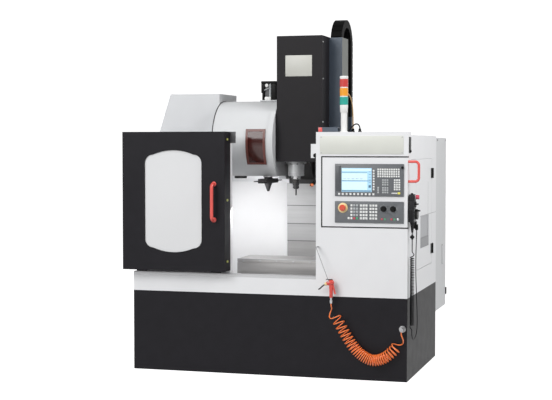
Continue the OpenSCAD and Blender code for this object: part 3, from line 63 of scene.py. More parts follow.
# Faces and axes that the frame gives
SIDE_X = edge("right_side_panel", 0, 1)
FRONT_Y = edge("operator_panel", 1, 0)
TOWER_TOP = edge("control_tower", 2, 1)
UNIT_X = edge("control_unit", 0, 0)
UNIT_X1 = edge("control_unit", 0, 1)
UNIT_Z = edge("control_unit", 2, 0)
UNIT_TOP = edge("control_unit", 2, 1)
HEAD_Y = edge("head_cover", 1, 0)
HEAD_X = edge("head_cover", 0, 1)
DOOR_Y = edge("door_panel", 1, 0)
TABLE_X = edge("table", 0, 0)
TABLE_X1 = edge("table", 0, 1)
TABLE_Y = edge("table", 1, 0)
TABLE_TOP = edge("table", 2, 1)
DRUM_AXIS = (middle("magazine_disc", 1), middle("magazine_disc", 2))
DRUM_X = edge("magazine_cover", 0, 0)
DRUM_X1 = edge("magazine_cover", 0, 1)
DRUM_R = round(edge("magazine_cover", 2, 1) - DRUM_AXIS[1])
AIR_X = edge("air_service_unit", 0, 0)
AIR_X1 = edge("air_service_unit", 0, 1)
AIR_Z = edge("air_service_unit", 2, 0)
AIR_TOP = edge("air_service_unit", 2, 1)
PENDANT_X = edge("pendant_body", 0, 1)
HOSE_TOP = edge("air_hose", 2, 1)
HOSE_Y = middle("air_hose", 1)
SPINDLE = (middle("spindle_shaft", 0), middle("spindle_shaft", 1))
ESTOP = (middle("estop_button", 0), middle("estop_button", 2))
DIALS = [(middle(knob, 0), middle(knob, 2)) for knob in ("feed_knob", "speed_knob")]
CORD = (middle("pendant_cord", 0), middle("pendant_dial", 1))

# Ends of the cords and plain directions
GUN_X = 420
LEAD_TOP = 893
UP = (0, 0, 1)
DOWN = (0, 0, -1)
RIGHT = (1, 0, 0)
FORWARD = (0, -1, 0)


# Camera and light


def aim_camera():
    """The photograph's camera, solved from the straight edges of the base and the control tower."""
    image_w = 552
    focal_px = 1299.0
    sensor = 36.0
    yaw = 16.382
    pitch = 2.399
    place = (2296.9, -8116.6, 1411.4)
    data = bpy.data.cameras.new("camera")
    data.sensor_fit = "HORIZONTAL"
    data.sensor_width = sensor
    data.lens = focal_px * sensor / image_w
    camera = bpy.data.objects.new("camera", data)
    camera.location = mm(*place)
    camera.rotation_euler = (math.radians(90 - pitch), 0, math.radians(yaw))
    bpy.context.collection.objects.link(camera)
    bpy.context.scene.camera = camera


def add_light(name, place, target, power, size):
    data = bpy.data.lights.new(name, "AREA")
    data.energy = power
    data.size = size * MM
    light = bpy.data.objects.new(name, data)
    light.location = mm(*place)
    light.rotation_euler = (mm(*target) - mm(*place)).to_track_quat("-Z", "Y").to_euler()
    bpy.context.collection.objects.link(light)


def stage_sheet(name, points, faces, material):
    """A sheet of the studio. It gives the part no light, so that the part's sides keep their shade."""
    mesh = bpy.data.meshes.new(name)
    mesh.from_pydata([mm(*p) for p in points], [], faces)
    mesh.materials.append(material)
    sheet = bpy.data.objects.new(name, mesh)
    sheet.visible_diffuse = False
    bpy.context.collection.objects.link(sheet)
    return sheet


def set_stage():
    """A white floor that runs up into white walls, with soft light from the front and the right."""
    world = bpy.data.worlds.new("studio")
    bpy.context.scene.world = world
    world.use_nodes = True
    background = world.node_tree.nodes["Background"]
    background.inputs["Color"].default_value = (1, 1, 1, 1)
    background.inputs["Strength"].default_value = 0.42
    add_light("key", (-3000, -7000, 5000), (0, 0, 1000), 500, 5000)
    add_light("right", (3200, -1000, 3600), (900, 0, 1400), 80, 1500)
    add_light("inside", (-280, -340, 1080), (-240, -120, 760), 3.0, 350)
    add_light("behind", (-250, 300, 1420), (-250, 510, 1100), 1.6, 300)
    half = 40000
    rear = 30000
    rise = 30000
    drop = -1
    white = glowing("floor_white", (0.62, 0.62, 0.62), 0.8, 1.3)
    corners = [(-half, -half, drop), (half, -half, drop), (half, rear, drop), (-half, rear, drop)]
    corners += [(half, rear, rise), (-half, rear, rise)]
    stage_sheet("floor", corners, [(0, 1, 2, 3), (3, 2, 4, 5)], white)
    plan = [(-half, rear), (-half, -half), (half, -half), (half, rear)]
    ring = [(x, y, z) for z in (0, rise) for x, y in plan]
    count = len(plan)
    walls = [(k, k + 1, k + 1 + count, k + count) for k in range(count - 1)]
    stage_sheet("backdrop", ring, walls, white).visible_glossy = False
    bpy.context.scene.view_settings.view_transform = "Standard"


# Materials


def finish(name, colour, rough, metal=0.0, vary=0.05, grain=60.0, bump=0.0, bump_scale=900.0,
           coat=0.0, stretch=None, shine=0.5):
    """A surface whose colour and roughness drift a little, with a fine bump.

    The stretch draws the grain out in one direction.
    """
    material = bpy.data.materials.new(name)
    material.use_nodes = True
    tree = material.node_tree
    shader = tree.nodes["Principled BSDF"]
    shader.inputs["Metallic"].default_value = metal
    shader.inputs["Coat Weight"].default_value = coat
    shader.inputs["Specular IOR Level"].default_value = shine
    place = tree.nodes.new("ShaderNodeTexCoord").outputs["Object"]
    if stretch:
        mapping = tree.nodes.new("ShaderNodeMapping")
        mapping.inputs["Scale"].default_value = stretch
        tree.links.new(place, mapping.inputs["Vector"])
        place = mapping.outputs["Vector"]
    drift = tree.nodes.new("ShaderNodeTexNoise")
    drift.inputs["Scale"].default_value = grain
    drift.inputs["Detail"].default_value = 4
    tree.links.new(place, drift.inputs["Vector"])
    ramp = tree.nodes.new("ShaderNodeValToRGB")
    ramp.color_ramp.elements[0].position = 0.3
    ramp.color_ramp.elements[1].position = 0.7
    ramp.color_ramp.elements[0].color = [c * (1 - vary) for c in colour] + [1]
    ramp.color_ramp.elements[1].color = [min(1, c * (1 + vary)) for c in colour] + [1]
    tree.links.new(drift.outputs["Fac"], ramp.inputs["Fac"])
    tree.links.new(ramp.outputs["Color"], shader.inputs["Base Color"])
    rough_share = 0.12
    spread = tree.nodes.new("ShaderNodeMapRange")
    spread.inputs["To Min"].default_value = rough * (1 - rough_share)
    spread.inputs["To Max"].default_value = min(1, rough * (1 + rough_share))
    tree.links.new(drift.outputs["Fac"], spread.inputs["Value"])
    tree.links.new(spread.outputs["Result"], shader.inputs["Roughness"])
    if bump:
        relief_depth = 0.3
        fine = tree.nodes.new("ShaderNodeTexNoise")
        fine.inputs["Scale"].default_value = bump_scale
        fine.inputs["Detail"].default_value = 2
        tree.links.new(place, fine.inputs["Vector"])
        relief = tree.nodes.new("ShaderNodeBump")
        relief.inputs["Strength"].default_value = bump
        relief.inputs["Distance"].default_value = relief_depth * MM
        tree.links.new(fine.outputs["Fac"], relief.inputs["Height"])
        tree.links.new(relief.outputs["Normal"], shader.inputs["Normal"])
    return material


def glowing(name, colour, rough, strength):
    material = finish(name, colour, rough, vary=0.03)
    shader = material.node_tree.nodes["Principled BSDF"]
    shader.inputs["Emission Color"].default_value = (*colour, 1)
    shader.inputs["Emission Strength"].default_value = strength
    return material


def see_through(name, colour, rough, alpha):
    material = finish(name, colour, rough, vary=0.04)
    material.node_tree.nodes["Principled BSDF"].inputs["Alpha"].default_value = alpha
    return material


CHARCOAL = finish("charcoal_paint", (0.0095, 0.0088, 0.0115), 0.42,
                  vary=0.10, grain=14, bump=0.25, shine=0.14)
HEAD_BLACK = finish("head_paint", (0.011, 0.0098, 0.0115), 0.5, vary=0.10, grain=12, bump=0.2, shine=0.16)
WHITE = finish("white_paint", (0.78, 0.785, 0.80), 0.45, vary=0.015, grain=6, bump=0.2, shine=0.2)
PEARL = finish("pearl_paint", (0.62, 0.63, 0.64), 0.45, vary=0.02, grain=6, bump=0.2, shine=0.2)
HOOD = finish("hood_paint", (0.64, 0.65, 0.665), 0.45, vary=0.02, grain=6, bump=0.2, shine=0.2)
INNER = finish("inner_paint", (0.86, 0.86, 0.87), 0.5, vary=0.015, grain=5, bump=0.15)
SILL = finish("sill_metal", (0.42, 0.42, 0.43), 0.38, metal=0.6, vary=0.10, grain=30, stretch=(0.05, 1, 1))
GUIDE = finish("guide_grey", (0.10, 0.10, 0.105), 0.5, vary=0.08, bump=0.2)
SLATE = finish("slate_paint", (0.060, 0.080, 0.110), 0.40, vary=0.08, grain=12, bump=0.2)
CASTING = finish("casting", (0.16, 0.16, 0.165), 0.6, vary=0.15, grain=40, bump=0.5, bump_scale=300)
BLACK_IRON = finish("black_casting", (0.016, 0.015, 0.016), 0.5, vary=0.2, grain=40, bump=0.4, bump_scale=300)
TABLE_STEEL = finish("table_steel", (0.40, 0.39, 0.385), 0.36,
                     metal=0.6, vary=0.14, grain=40, stretch=(0.06, 1, 1))
COVER_STEEL = finish("cover_steel", (0.40, 0.40, 0.405), 0.42,
                     metal=0.25, vary=0.05, grain=50, stretch=(0.05, 1, 1))
FIXED_LEAF = finish("fixed_leaf", (0.38, 0.375, 0.375), 0.42,
                    metal=0.25, vary=0.08, grain=50, stretch=(0.05, 1, 1))
GROUND = finish("ground_steel", (0.62, 0.62, 0.63), 0.25,
                metal=0.9, vary=0.08, grain=80, stretch=(1, 1, 0.08))
NOSE_STEEL = finish("nose_steel", (0.40, 0.405, 0.41), 0.5,
                    metal=0.4, vary=0.10, grain=70, stretch=(1, 1, 0.06))
# A rougher, less shiny copy of the charcoal paint for the base's right side: painted shade that keeps that
# side darker than the lights leave it.
BASE_SIDE_SHADE = finish("base_side_painted_shade", (0.0095, 0.0092, 0.0105), 0.5, vary=0.10, grain=14, bump=0.25, shine=0.105)
CHAIN = finish("chain_plastic", (0.004, 0.004, 0.004), 0.6, vary=0.12, grain=80, bump=0.25, shine=0.06)
PENDANT = finish("pendant_plastic", (0.024, 0.024, 0.026), 0.5, vary=0.12, grain=80, bump=0.25, shine=0.12)
DARK_STEEL = finish("dark_steel", (0.045, 0.043, 0.042), 0.38, metal=0.6, vary=0.2, grain=60)
BLACK = finish("black_plastic", (0.006, 0.006, 0.006), 0.45, vary=0.12, grain=80, bump=0.25, shine=0.12)
RUBBER = finish("black_rubber", (0.008, 0.008, 0.009), 0.62, vary=0.12, grain=90, bump=0.3, shine=0.2)
RED = finish("red_plastic", (0.72, 0.085, 0.070), 0.36, vary=0.06, grain=60, bump=0.12, coat=0.2)
PINK_RED = finish("stop_red", (0.50, 0.030, 0.070), 0.36, vary=0.06, coat=0.2)
YELLOW = finish("buffer_yellow", (0.58, 0.60, 0.16), 0.5, vary=0.08)
ORANGE = finish("hose_orange", (0.93, 0.21, 0.045), 0.28, vary=0.06, grain=120, coat=0.3)
PALE_PANE = finish("pale_pane", (0.70, 0.705, 0.715), 0.3, vary=0.012, grain=3, coat=0.1, shine=0.2)
SIDE_PANE = finish("side_pane", (0.31, 0.315, 0.335), 0.3, vary=0.03, grain=5, shine=0.12)
SIDE_PANE_LOW = finish("side_pane_low", (0.145, 0.15, 0.16), 0.3, vary=0.03, grain=5, shine=0.12)
DUCT_GREY = finish("duct_grey", (0.080, 0.088, 0.078), 0.45, vary=0.08, grain=12, bump=0.2)
BROWN_PANE = see_through("brown_pane", (0.050, 0.008, 0.006), 0.12, 0.95)
BROWN_FRAME = finish("brown_frame", (0.115, 0.024, 0.016), 0.35, vary=0.06)
LAMP_WHITE = finish("lamp_white", (0.80, 0.80, 0.79), 0.35, vary=0.02)
LAMP_GREEN = glowing("lamp_green", (0.02, 0.33, 0.27), 0.25, 0.10)
LAMP_AMBER = glowing("lamp_amber", (0.75, 0.30, 0.02), 0.25, 0.12)
LAMP_RED = glowing("lamp_red", (0.52, 0.045, 0.040), 0.25, 0.10)
PLATE = finish("bare_plate", (0.64, 0.65, 0.60), 0.42, vary=0.02, grain=8)
HEAD_PLATE = finish("head_plate", (0.50, 0.50, 0.46), 0.42, vary=0.02, grain=8)
UNIT_GREY = finish("unit_grey", (0.115, 0.122, 0.132), 0.42, vary=0.04, grain=40, bump=0.15)
UNIT_DARK = finish("unit_dark", (0.055, 0.060, 0.068), 0.4, vary=0.04, grain=40)
KEY_WHITE = finish("key_white", (0.78, 0.79, 0.78), 0.42, vary=0.02)
KEY_GREY = finish("key_grey", (0.42, 0.44, 0.45), 0.42, vary=0.03)
KEY_YELLOW = finish("key_yellow", (0.80, 0.74, 0.12), 0.42, vary=0.03)
KEY_RED = finish("key_red", (0.55, 0.05, 0.09), 0.42, vary=0.03)
KEY_GREEN = finish("key_green", (0.06, 0.36, 0.17), 0.42, vary=0.03)
SCREEN = glowing("screen_blue", (0.36, 0.60, 0.78), 0.18, 0.35)
SCREEN_PALE = glowing("screen_pale", (0.58, 0.76, 0.84), 0.18, 0.35)
SCREEN_LINE = finish("screen_line", (0.10, 0.20, 0.30), 0.2, vary=0.03)
RING_YELLOW = finish("ring_yellow", (0.80, 0.62, 0.30), 0.42, vary=0.03)
STOP_RED = finish("estop_red", (0.66, 0.070, 0.030), 0.32, vary=0.05, coat=0.3)
SCREW = finish("screw_steel", (0.45, 0.45, 0.46), 0.35, metal=0.8, vary=0.08)
SCREW_WHITE = finish("screw_white", (0.72, 0.74, 0.74), 0.35, vary=0.04)
GROOVE = finish("groove_grey", (0.34, 0.34, 0.35), 0.6, vary=0.05)
GUN_RED = finish("gun_red", (0.64, 0.050, 0.035), 0.34, vary=0.06, coat=0.2)
WIRE = finish("wire_steel", (0.35, 0.35, 0.36), 0.3, metal=0.8, vary=0.06)
AMBER_CABLE = finish("amber_cable", (0.56, 0.36, 0.17), 0.4, vary=0.06)

NODE_FINISH = {
    "base_plinth": CHARCOAL, "door_panel": CHARCOAL, "head_cover": HEAD_BLACK, "bed_casting": CASTING,
    "column_casting": CASTING, "linear_rails": GROUND, "front_apron": WHITE, "door_rail": SILL,
    "left_panel": WHITE, "rear_wall": WHITE, "right_side_panel": WHITE, "inner_splash": INNER,
    "control_tower": WHITE, "cable_ducts": SLATE, "electrical_cabinet": PEARL, "cabinet_door": PEARL,
    "magazine_housing": HOOD, "magazine_cover": PEARL, "magazine_window": BROWN_PANE, "change_unit": PEARL,
    "air_service_unit": BLACK, "door_guide": GUIDE, "side_hinges": BLACK, "pendant_body": PENDANT,
    "cord_fittings": WIRE, "gun_body": GUN_RED, "door_window": PALE_PANE, "door_handle": RED,
    "door_buffers": YELLOW, "saddle": CASTING, "table": TABLE_STEEL, "head_casting": BLACK_IRON,
    "chain_duct": SLATE, "z_cover_top": COVER_STEEL, "z_cover_upper": COVER_STEEL,
    "z_cover_lower": COVER_STEEL, "spindle_cartridge": NOSE_STEEL, "coolant_nozzle": BLACK,
    "spindle_shaft": GROUND, "tool_holder": DARK_STEEL, "energy_chain": CHAIN, "magazine_disc": CASTING,
    "tool_pot": BLACK_IRON, "arm_quill": GROUND, "tool_arm": BLACK_IRON, "operator_panel": WHITE,
    "control_unit": UNIT_GREY, "panel_handle": RED, "estop_button": STOP_RED, "feed_knob": BLACK,
    "speed_knob": BLACK, "side_door": WHITE, "side_window": SIDE_PANE, "pendant_stop": PINK_RED,
    "pendant_dial": BLACK, "pendant_selector": BLACK, "gun_trigger": GUN_RED, "signal_tower": LAMP_WHITE,
    "air_hose": ORANGE, "pendant_cord": RUBBER,
}


def dress_nodes():
    for name, material in NODE_FINISH.items():
        node = NODES[name]
        if not node.material_slots:
            node.data.materials.append(material)
        for slot in node.material_slots:
            slot.material = material


def paint_faces(name, material, low, high):
    """Gives the faces of a part that lie between two corners another finish."""
    node = NODES[name]
    node.data.materials.append(material)
    slot = len(node.data.materials) - 1
    first = mm(*low)
    last = mm(*high)
    for face in node.data.polygons:
        places = [node.matrix_world @ node.data.vertices[i].co for i in face.vertices]
        if all(first[k] <= p[k] <= last[k] for p in places for k in range(3)):
            face.material_index = slot


# Mesh building


def block(bm, low, high):
    grid = [mm(x, y, z) for x in (low[0], high[0]) for y in (low[1], high[1]) for z in (low[2], high[2])]
    v = [bm.verts.new(p) for p in grid]
    for face in ((0, 1, 3, 2), (4, 6, 7, 5), (0, 4, 5, 1), (2, 3, 7, 6), (0, 2, 6, 4), (1, 5, 7, 3)):
        bm.faces.new([v[i] for i in face])


def circle(radius, sides):
    """Points round a circle, in its own plane."""
    angles = [math.tau * k / sides for k in range(sides)]
    return [(radius * math.cos(a), radius * math.sin(a)) for a in angles]


def bridge(bm, rings):
    """Faces between each ring of points and the next."""
    for a, b in zip(rings, rings[1:]):
        count = len(a)
        for k in range(count):
            m = (k + 1) % count
            bm.faces.new((a[k], a[m], b[m], b[k]))


def cap(bm, rings):
    bm.faces.new(list(reversed(rings[0])))
    bm.faces.new(rings[-1])


def lathe(bm, start, direction, profile, sides=32):
    """Revolves (distance along direction, radius) pairs into a closed solid."""
    turn = Vector(direction).to_track_quat("Z", "Y").to_matrix()
    origin = mm(*start)
    rings = []
    for along, radius in profile:
        rings.append([bm.verts.new(origin + turn @ mm(u, v, along)) for u, v in circle(radius, sides)])
    bridge(bm, rings)
    cap(bm, rings)


def pierced_plate(bm, low, high, holes, sides=32):
    """A plate that faces the front, with round holes through it; holes are (X, Z, radius)."""
    loops = [[(low[0], low[2]), (high[0], low[2]), (high[0], high[2]), (low[0], high[2])]]
    for x, z, radius in holes:
        loops.append([(x + u, z + v) for u, v in circle(radius, sides)])
    edges = []
    for loop in loops:
        ring = [bm.verts.new(mm(x, low[1], z)) for x, z in loop]
        edges += [bm.edges.new((a, b)) for a, b in zip(ring, ring[1:] + ring[:1])]
    filled = bmesh.ops.triangle_fill(bm, use_beauty=True, use_dissolve=False, edges=edges)["geom"]
    faces = [f for f in filled if isinstance(f, bmesh.types.BMFace)]
    grown = bmesh.ops.extrude_face_region(bm, geom=faces)["geom"]
    moved = [v for v in grown if isinstance(v, bmesh.types.BMVert)]
    bmesh.ops.translate(bm, verts=moved, vec=mm(0, high[1] - low[1], 0))


def piece(name, bm, material, body, bevel=0, stands_for=()):
    """Makes the mesh an object that rides on a body, with its edges eased by a bevel."""
    crease = math.radians(40)
    bmesh.ops.recalc_face_normals(bm, faces=bm.faces)
    mesh = bpy.data.meshes.new(name)
    bm.to_mesh(mesh)
    bm.free()
    obj = bpy.data.objects.new(name, mesh)
    bpy.context.collection.objects.link(obj)
    mesh.materials.append(material)
    mesh.polygons.foreach_set("use_smooth", [True] * len(mesh.polygons))
    if bevel:
        eased = obj.modifiers.new("ease", "BEVEL")
        eased.width = bevel * MM
        eased.segments = 2
        eased.limit_method = "ANGLE"
        eased.angle_limit = crease
    sharp = obj.modifiers.new("sharp", "EDGE_SPLIT")
    sharp.split_angle = crease
    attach(obj, body)
    if stands_for:
        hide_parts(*stands_for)


def blocks(name, boxes, material, body, bevel=0, stands_for=()):
    """One piece of boxes; each box is its low and its high corner."""
    bm = bmesh.new()
    for low, high in boxes:
        block(bm, low, high)
    piece(name, bm, material, body, bevel, stands_for)


def turned(name, solids, material, body, sides=32, stands_for=()):
    """One piece of turned solids; each solid is (start, direction, profile)."""
    bm = bmesh.new()
    for start, direction, profile in solids:
        lathe(bm, start, direction, profile, sides)
    piece(name, bm, material, body, stands_for=stands_for)


def screws(name, places, direction, radius, height, material, body):
    """Round-headed screws at each place, standing along direction."""
    dome_shares = ((0, 1), (0.5, 1), (0.85, 0.75), (1, 0.3))
    dome = [(height * up, radius * out) for up, out in dome_shares]
    turned(name, [(p, direction, dome) for p in places], material, body, 16)


# Cords


def smooth_route(points, steps):
    """Points along a Catmull-Rom curve through the route, evenly counted between its points."""
    ends = [points[0] * 2 - points[1]] + points + [points[-1] * 2 - points[-2]]
    out = []
    for i in range(1, len(ends) - 2):
        a, b, c, d = ends[i - 1:i + 3]
        for k in range(steps):
            t = k / steps
            square = (a * 2 - b * 5 + c * 4 - d) * t * t
            cube = (b * 3 - a - c * 3 + d) * t ** 3
            out.append((b * 2 + (c - a) * t + square + cube) / 2)
    out.append(points[-1])
    return out


def even(points, count):
    """The polyline again, with count points at even spacing."""
    reach = [0.0]
    for a, b in zip(points, points[1:]):
        reach.append(reach[-1] + (b - a).length)
    out = []
    i = 0
    for k in range(count):
        want = reach[-1] * k / (count - 1)
        while i < len(points) - 2 and reach[i + 1] < want:
            i += 1
        span = reach[i + 1] - reach[i]
        out.append(points[i].lerp(points[i + 1], (want - reach[i]) / span if span else 0))
    return out


def path_length(points):
    return sum((b - a).length for a, b in zip(points, points[1:]))


def ease(share):
    """A smooth step from 0 to 1."""
    share = min(1.0, max(0.0, share))
    return share * share * (3 - 2 * share)


def pitch_at(knots, share):
    """The coil's pitch at a share of its route, eased between the knots."""
    for (start, first), (end, last) in zip(knots, knots[1:]):
        if share <= end:
            return first + (last - first) * ease((share - start) / (end - start))
    return knots[-1][1]


def wind(route, normal, radius, knots, straight, swell, per_turn, gap):
    """A helix about a flat route.

    The knots are (share of the route, pitch). The radius grows over swell at each end, after a straight
    bit. Points lie per_turn to a turn, and no further apart along the route than gap.
    """
    length = path_length(route)
    step = 0.1 * MM
    line = even(route, int(length / step) + 1)
    out = []
    turned_by = 0.0
    marked = (-math.tau, 0.0)
    for k, p in enumerate(line):
        along = length * k / (len(line) - 1)
        due = turned_by - marked[0] >= math.tau / per_turn or along - marked[1] >= gap * MM
        if due or k == len(line) - 1:
            marked = (turned_by, along)
            ahead = line[min(k + 1, len(line) - 1)] - line[max(k - 1, 0)]
            side = ahead.cross(normal).normalized()
            grown = (min(along, length - along) - straight * MM) / (swell * MM)
            reach = radius * MM * (1 - math.cos(math.pi * min(1.0, max(0.0, grown)))) / 2
            out.append(p + side * reach * math.cos(turned_by) + normal * reach * math.sin(turned_by))
        turned_by += math.tau * step / (pitch_at(knots, along / length) * MM)
    return out


def cord_piece(name, points, diameter, material, slot, stands_for, **facts):
    """A round cord as one open spline."""
    curve = bpy.data.curves.new(name, "CURVE")
    curve.dimensions = "3D"
    curve.bevel_depth = diameter / 2 * MM
    curve.bevel_resolution = 2
    curve.use_fill_caps = True
    spline = curve.splines.new("POLY")
    spline.points.add(len(points) - 1)
    for point, place in zip(spline.points, points):
        point.co = (*place, 1)
    spline.use_smooth = True
    curve.materials.append(material)
    obj = bpy.data.objects.new(name, curve)
    bpy.context.collection.objects.link(obj)
    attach(obj, "frame")
    if stands_for:
        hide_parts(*stands_for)


def lay_air_hose():
    """The orange coil hose, from the air gun's inlet to the fitting on the base."""
    route_xz = [
        (420, 462), (420, 438), (430, 405), (455, 370), (480, 330), (503, 290), (527, 252), (553, 214),
        (584, 180), (618, 153), (652, 136), (687, 130), (721, 136), (755, 153), (788, 180), (815, 210),
        (835, 240), (845, 265), (848, 288), (848, 306),
    ]
    tube = 7
    coil = 70
    knots = [(0, 130), (0.10, 130), (0.13, 38), (0.30, 24), (0.54, 12.5), (0.68, 12.5),
             (0.86, 24), (0.90, 220), (1, 220)]
    route = smooth_route([mm(x, HOSE_Y, z) for x, z in route_xz], 12)
    points = wind(route, Vector((0, 1, 0)), (coil - tube) / 2, knots,
                  straight=4, swell=79, per_turn=18, gap=7)
    cord_piece("air_hose_coil", points, tube, ORANGE, "orange_hose", ["air_hose"],
               far_end="object", stiffness="medium", lay="hanging")


def lay_pendant_cord():
    """The pendant's curly cord: a straight lead, the coil, a loop below and a lead up to the socket."""
    cord_x, cord_y = CORD
    lead_step = 12
    coil_top = 785
    coil_low = 300
    wire = 5.3
    coil = 27.6
    lead_yz = [
        (-477, 300), (-477, 288), (-472, 272), (-458, 258), (-438, 249), (-414, 246), (-390, 246),
        (-366, 249), (-342, 257), (-321, 271), (-306, 290), (-297, 318), (-298, 360), (-308, 430),
        (-328, 520), (-344, 600), (-352, 680), (-348, 760), (-338, 830), (-330, 876), (-330, 900),
    ]
    knots = [(0, 80), (0.05, 80), (0.085, 11), (0.5, 8.5), (0.6, 6.4), (0.915, 6.4), (0.95, 80), (1, 80)]
    upper = [mm(cord_x, cord_y, z) for z in range(LEAD_TOP, coil_top, -lead_step)]
    axis = [mm(cord_x, cord_y, z) for z in (coil_top, (coil_top + coil_low) / 2, coil_low)]
    helix = wind(axis, Vector(RIGHT), (coil - wire) / 2, knots, straight=0, swell=25, per_turn=16, gap=2.5)
    lower = even(smooth_route([mm(cord_x, y, z) for y, z in lead_yz], 6), 70)
    cord_piece("pendant_curly_cord", upper + helix + lower[1:], wire, RUBBER, "black_plastic",
               ["pendant_cord"], far_end="object", stiffness="limp", lay="hanging")


# Control tower: screen unit, machine panel, plates, lamps


UNIT_FACE = FRONT_Y - 6
MACHINE_TOP = UNIT_Z + 130
BUTTON_RISE = 2.5


def unit_blocks(name, boxes, material, bevel=0):
    blocks(name, boxes, material, "panel", bevel)


def key_boxes(x, z, columns, rows, pitch_x, pitch_z, size, rise=3):
    """Boxes of a grid of keys, counted right and down from its first key's centre."""
    half = size / 2
    boxes = []
    for i in range(columns):
        for k in range(rows):
            cx = x + i * pitch_x
            cz = z - k * pitch_z
            boxes.append(((cx - half, UNIT_FACE - rise, cz - half), (cx + half, UNIT_FACE, cz + half)))
    return boxes


def buttons(*places):
    """Boxes of single buttons of the machine panel; each place is (X, Z, size)."""
    boxes = []
    for x, z, size in places:
        boxes += key_boxes(x, z, 1, 1, 0, 0, size, BUTTON_RISE)
    return boxes


def printed(fields, front, back):
    """Thin boxes of what the screen shows; each field is (low X, low Z, high X, high Z)."""
    return [((a, front, b), (c, back, d)) for a, b, c, d in fields]


def dress_screen():
    """Front plates of both units, and the screen with its picture."""
    screen_low = UNIT_TOP - 194
    bm = bmesh.new()
    block(bm, (UNIT_X, UNIT_FACE, screen_low), (UNIT_X1, FRONT_Y, UNIT_TOP))
    holes = [(*ESTOP, 14)] + [(*dial, 6) for dial in DIALS]
    pierced_plate(bm, (UNIT_X, UNIT_FACE, UNIT_Z), (UNIT_X1, FRONT_Y, MACHINE_TOP), holes)
    piece("unit_plates", bm, UNIT_GREY, "panel", 1.2, ["control_unit"])
    glass = UNIT_FACE - 0.6
    picture = glass - 0.3
    unit_blocks("unit_side_cover", printed([(439, 1137, 470, 1290)], glass, UNIT_FACE), UNIT_DARK, 0.5)
    unit_blocks("screen_field", printed([(475, 1134, 659, 1277)], glass, UNIT_FACE), SCREEN)
    fields = [(477, 1147, 632, 1196), (477, 1204, 632, 1246), (477, 1259, 655, 1274)]
    unit_blocks("screen_fields", printed(fields, picture, glass), SCREEN_PALE)
    lines = [(477, 1199, 655, 1202), (477, 1249, 632, 1251), (477, 1137, 655, 1143), (640, 1160, 655, 1175)]
    lines += [(640, 1190 + 16 * k, 655, 1192 + 16 * k) for k in range(5)]
    lines += [(484 + 26 * k, 1212, 500 + 26 * k, 1214) for k in range(5)]
    unit_blocks("screen_lines", printed(lines, picture, glass), SCREEN_LINE)


def dress_screen_keys():
    """Keys beside and below the screen."""
    size = 10.5
    across = 13.8
    down = 13.7
    bevel = 1.2
    white = key_boxes(699, 1269, 10, 4, across, down, size)
    white += key_boxes(671.5, 1261, 1, 8, 0, 15.8, size)
    white += key_boxes(459.5, 1121, 10, 1, 23.4, 0, 12)
    white += key_boxes(799, 1206, 3, 5, across, down, size)
    white += key_boxes(784, 1128, 4, 1, 9, 0, 7.5)
    unit_blocks("unit_keys", white, KEY_WHITE, bevel)
    grey = key_boxes(728, 1206, 3, 3, across, down, size)
    grey += key_boxes(728, 1160, 3, 3, across, down, size)
    grey += key_boxes(699, 1160, 1, 3, 0, down, size)
    unit_blocks("unit_grey_keys", grey, KEY_GREY, bevel)
    yellow = ((817, UNIT_FACE - 3, 1122), (832, UNIT_FACE, 1134))
    unit_blocks("unit_yellow_key", [yellow], KEY_YELLOW, bevel)
    knob = [(0, 8), (8, 7.5), (10, 5)]
    turned("unit_cover_knob", [((846, UNIT_FACE, 1281), FORWARD, knob)], BLACK, "panel")


def dress_machine_panel():
    """Buttons, key switch, ring of the emergency stop and ticks round the knobs."""
    top = 1053
    rows = 5
    down = 19.3
    low = 975.8
    last = 973
    across = 17
    size = 12.5
    small = 11
    bevel = 3
    white = key_boxes(536, top, 1, rows, 0, down, size, BUTTON_RISE) + buttons((519, low, size))
    for x in (594, 653):
        white += key_boxes(x, top, 3, rows, across, down, 13, BUTTON_RISE)
    unit_blocks("machine_keys", white, KEY_WHITE, bevel)
    grey = key_boxes(553, top, 2, rows - 1, across, down, size, BUTTON_RISE)
    unit_blocks("machine_grey_keys", grey, KEY_GREY, bevel)
    red = buttons((553, low, size), (722, last, small), (780, last, small))
    unit_blocks("machine_red_keys", red, KEY_RED, bevel)
    green = buttons((570, low, size), (740, last, small), (798, last, small))
    unit_blocks("machine_green_keys", green, KEY_GREEN, bevel)
    switch = [(0, 7), (4, 7), (5, 5.5)]
    turned("key_switch", [((820, UNIT_FACE, last), FORWARD, switch)], SCREW, "panel")
    bm = bmesh.new()
    loops = []
    for radius, rise in ((14, 0), (30, 0), (30, 2.2), (28.8, 3), (14, 3)):
        ring = [mm(ESTOP[0] + u, UNIT_FACE - rise, ESTOP[1] + v) for u, v in circle(radius, 48)]
        loops.append([bm.verts.new(p) for p in ring])
    bridge(bm, loops + loops[:1])
    piece("estop_ring", bm, RING_YELLOW, "panel")
    inner = 21
    thin = 0.6
    ticks = bmesh.new()
    for x, z in DIALS:
        for k in range(19):
            angle = math.radians(-45 + 15 * k)
            length = (24.5 if k % 3 else 27) - inner
            spoke = Vector((math.cos(angle), 0, math.sin(angle)))
            start = Vector((x, UNIT_FACE - 0.3, z)) + spoke * inner
            lathe(ticks, start, spoke, [(0, thin), (length, thin)], 6)
    piece("dial_ticks", ticks, KEY_GREY, "panel")


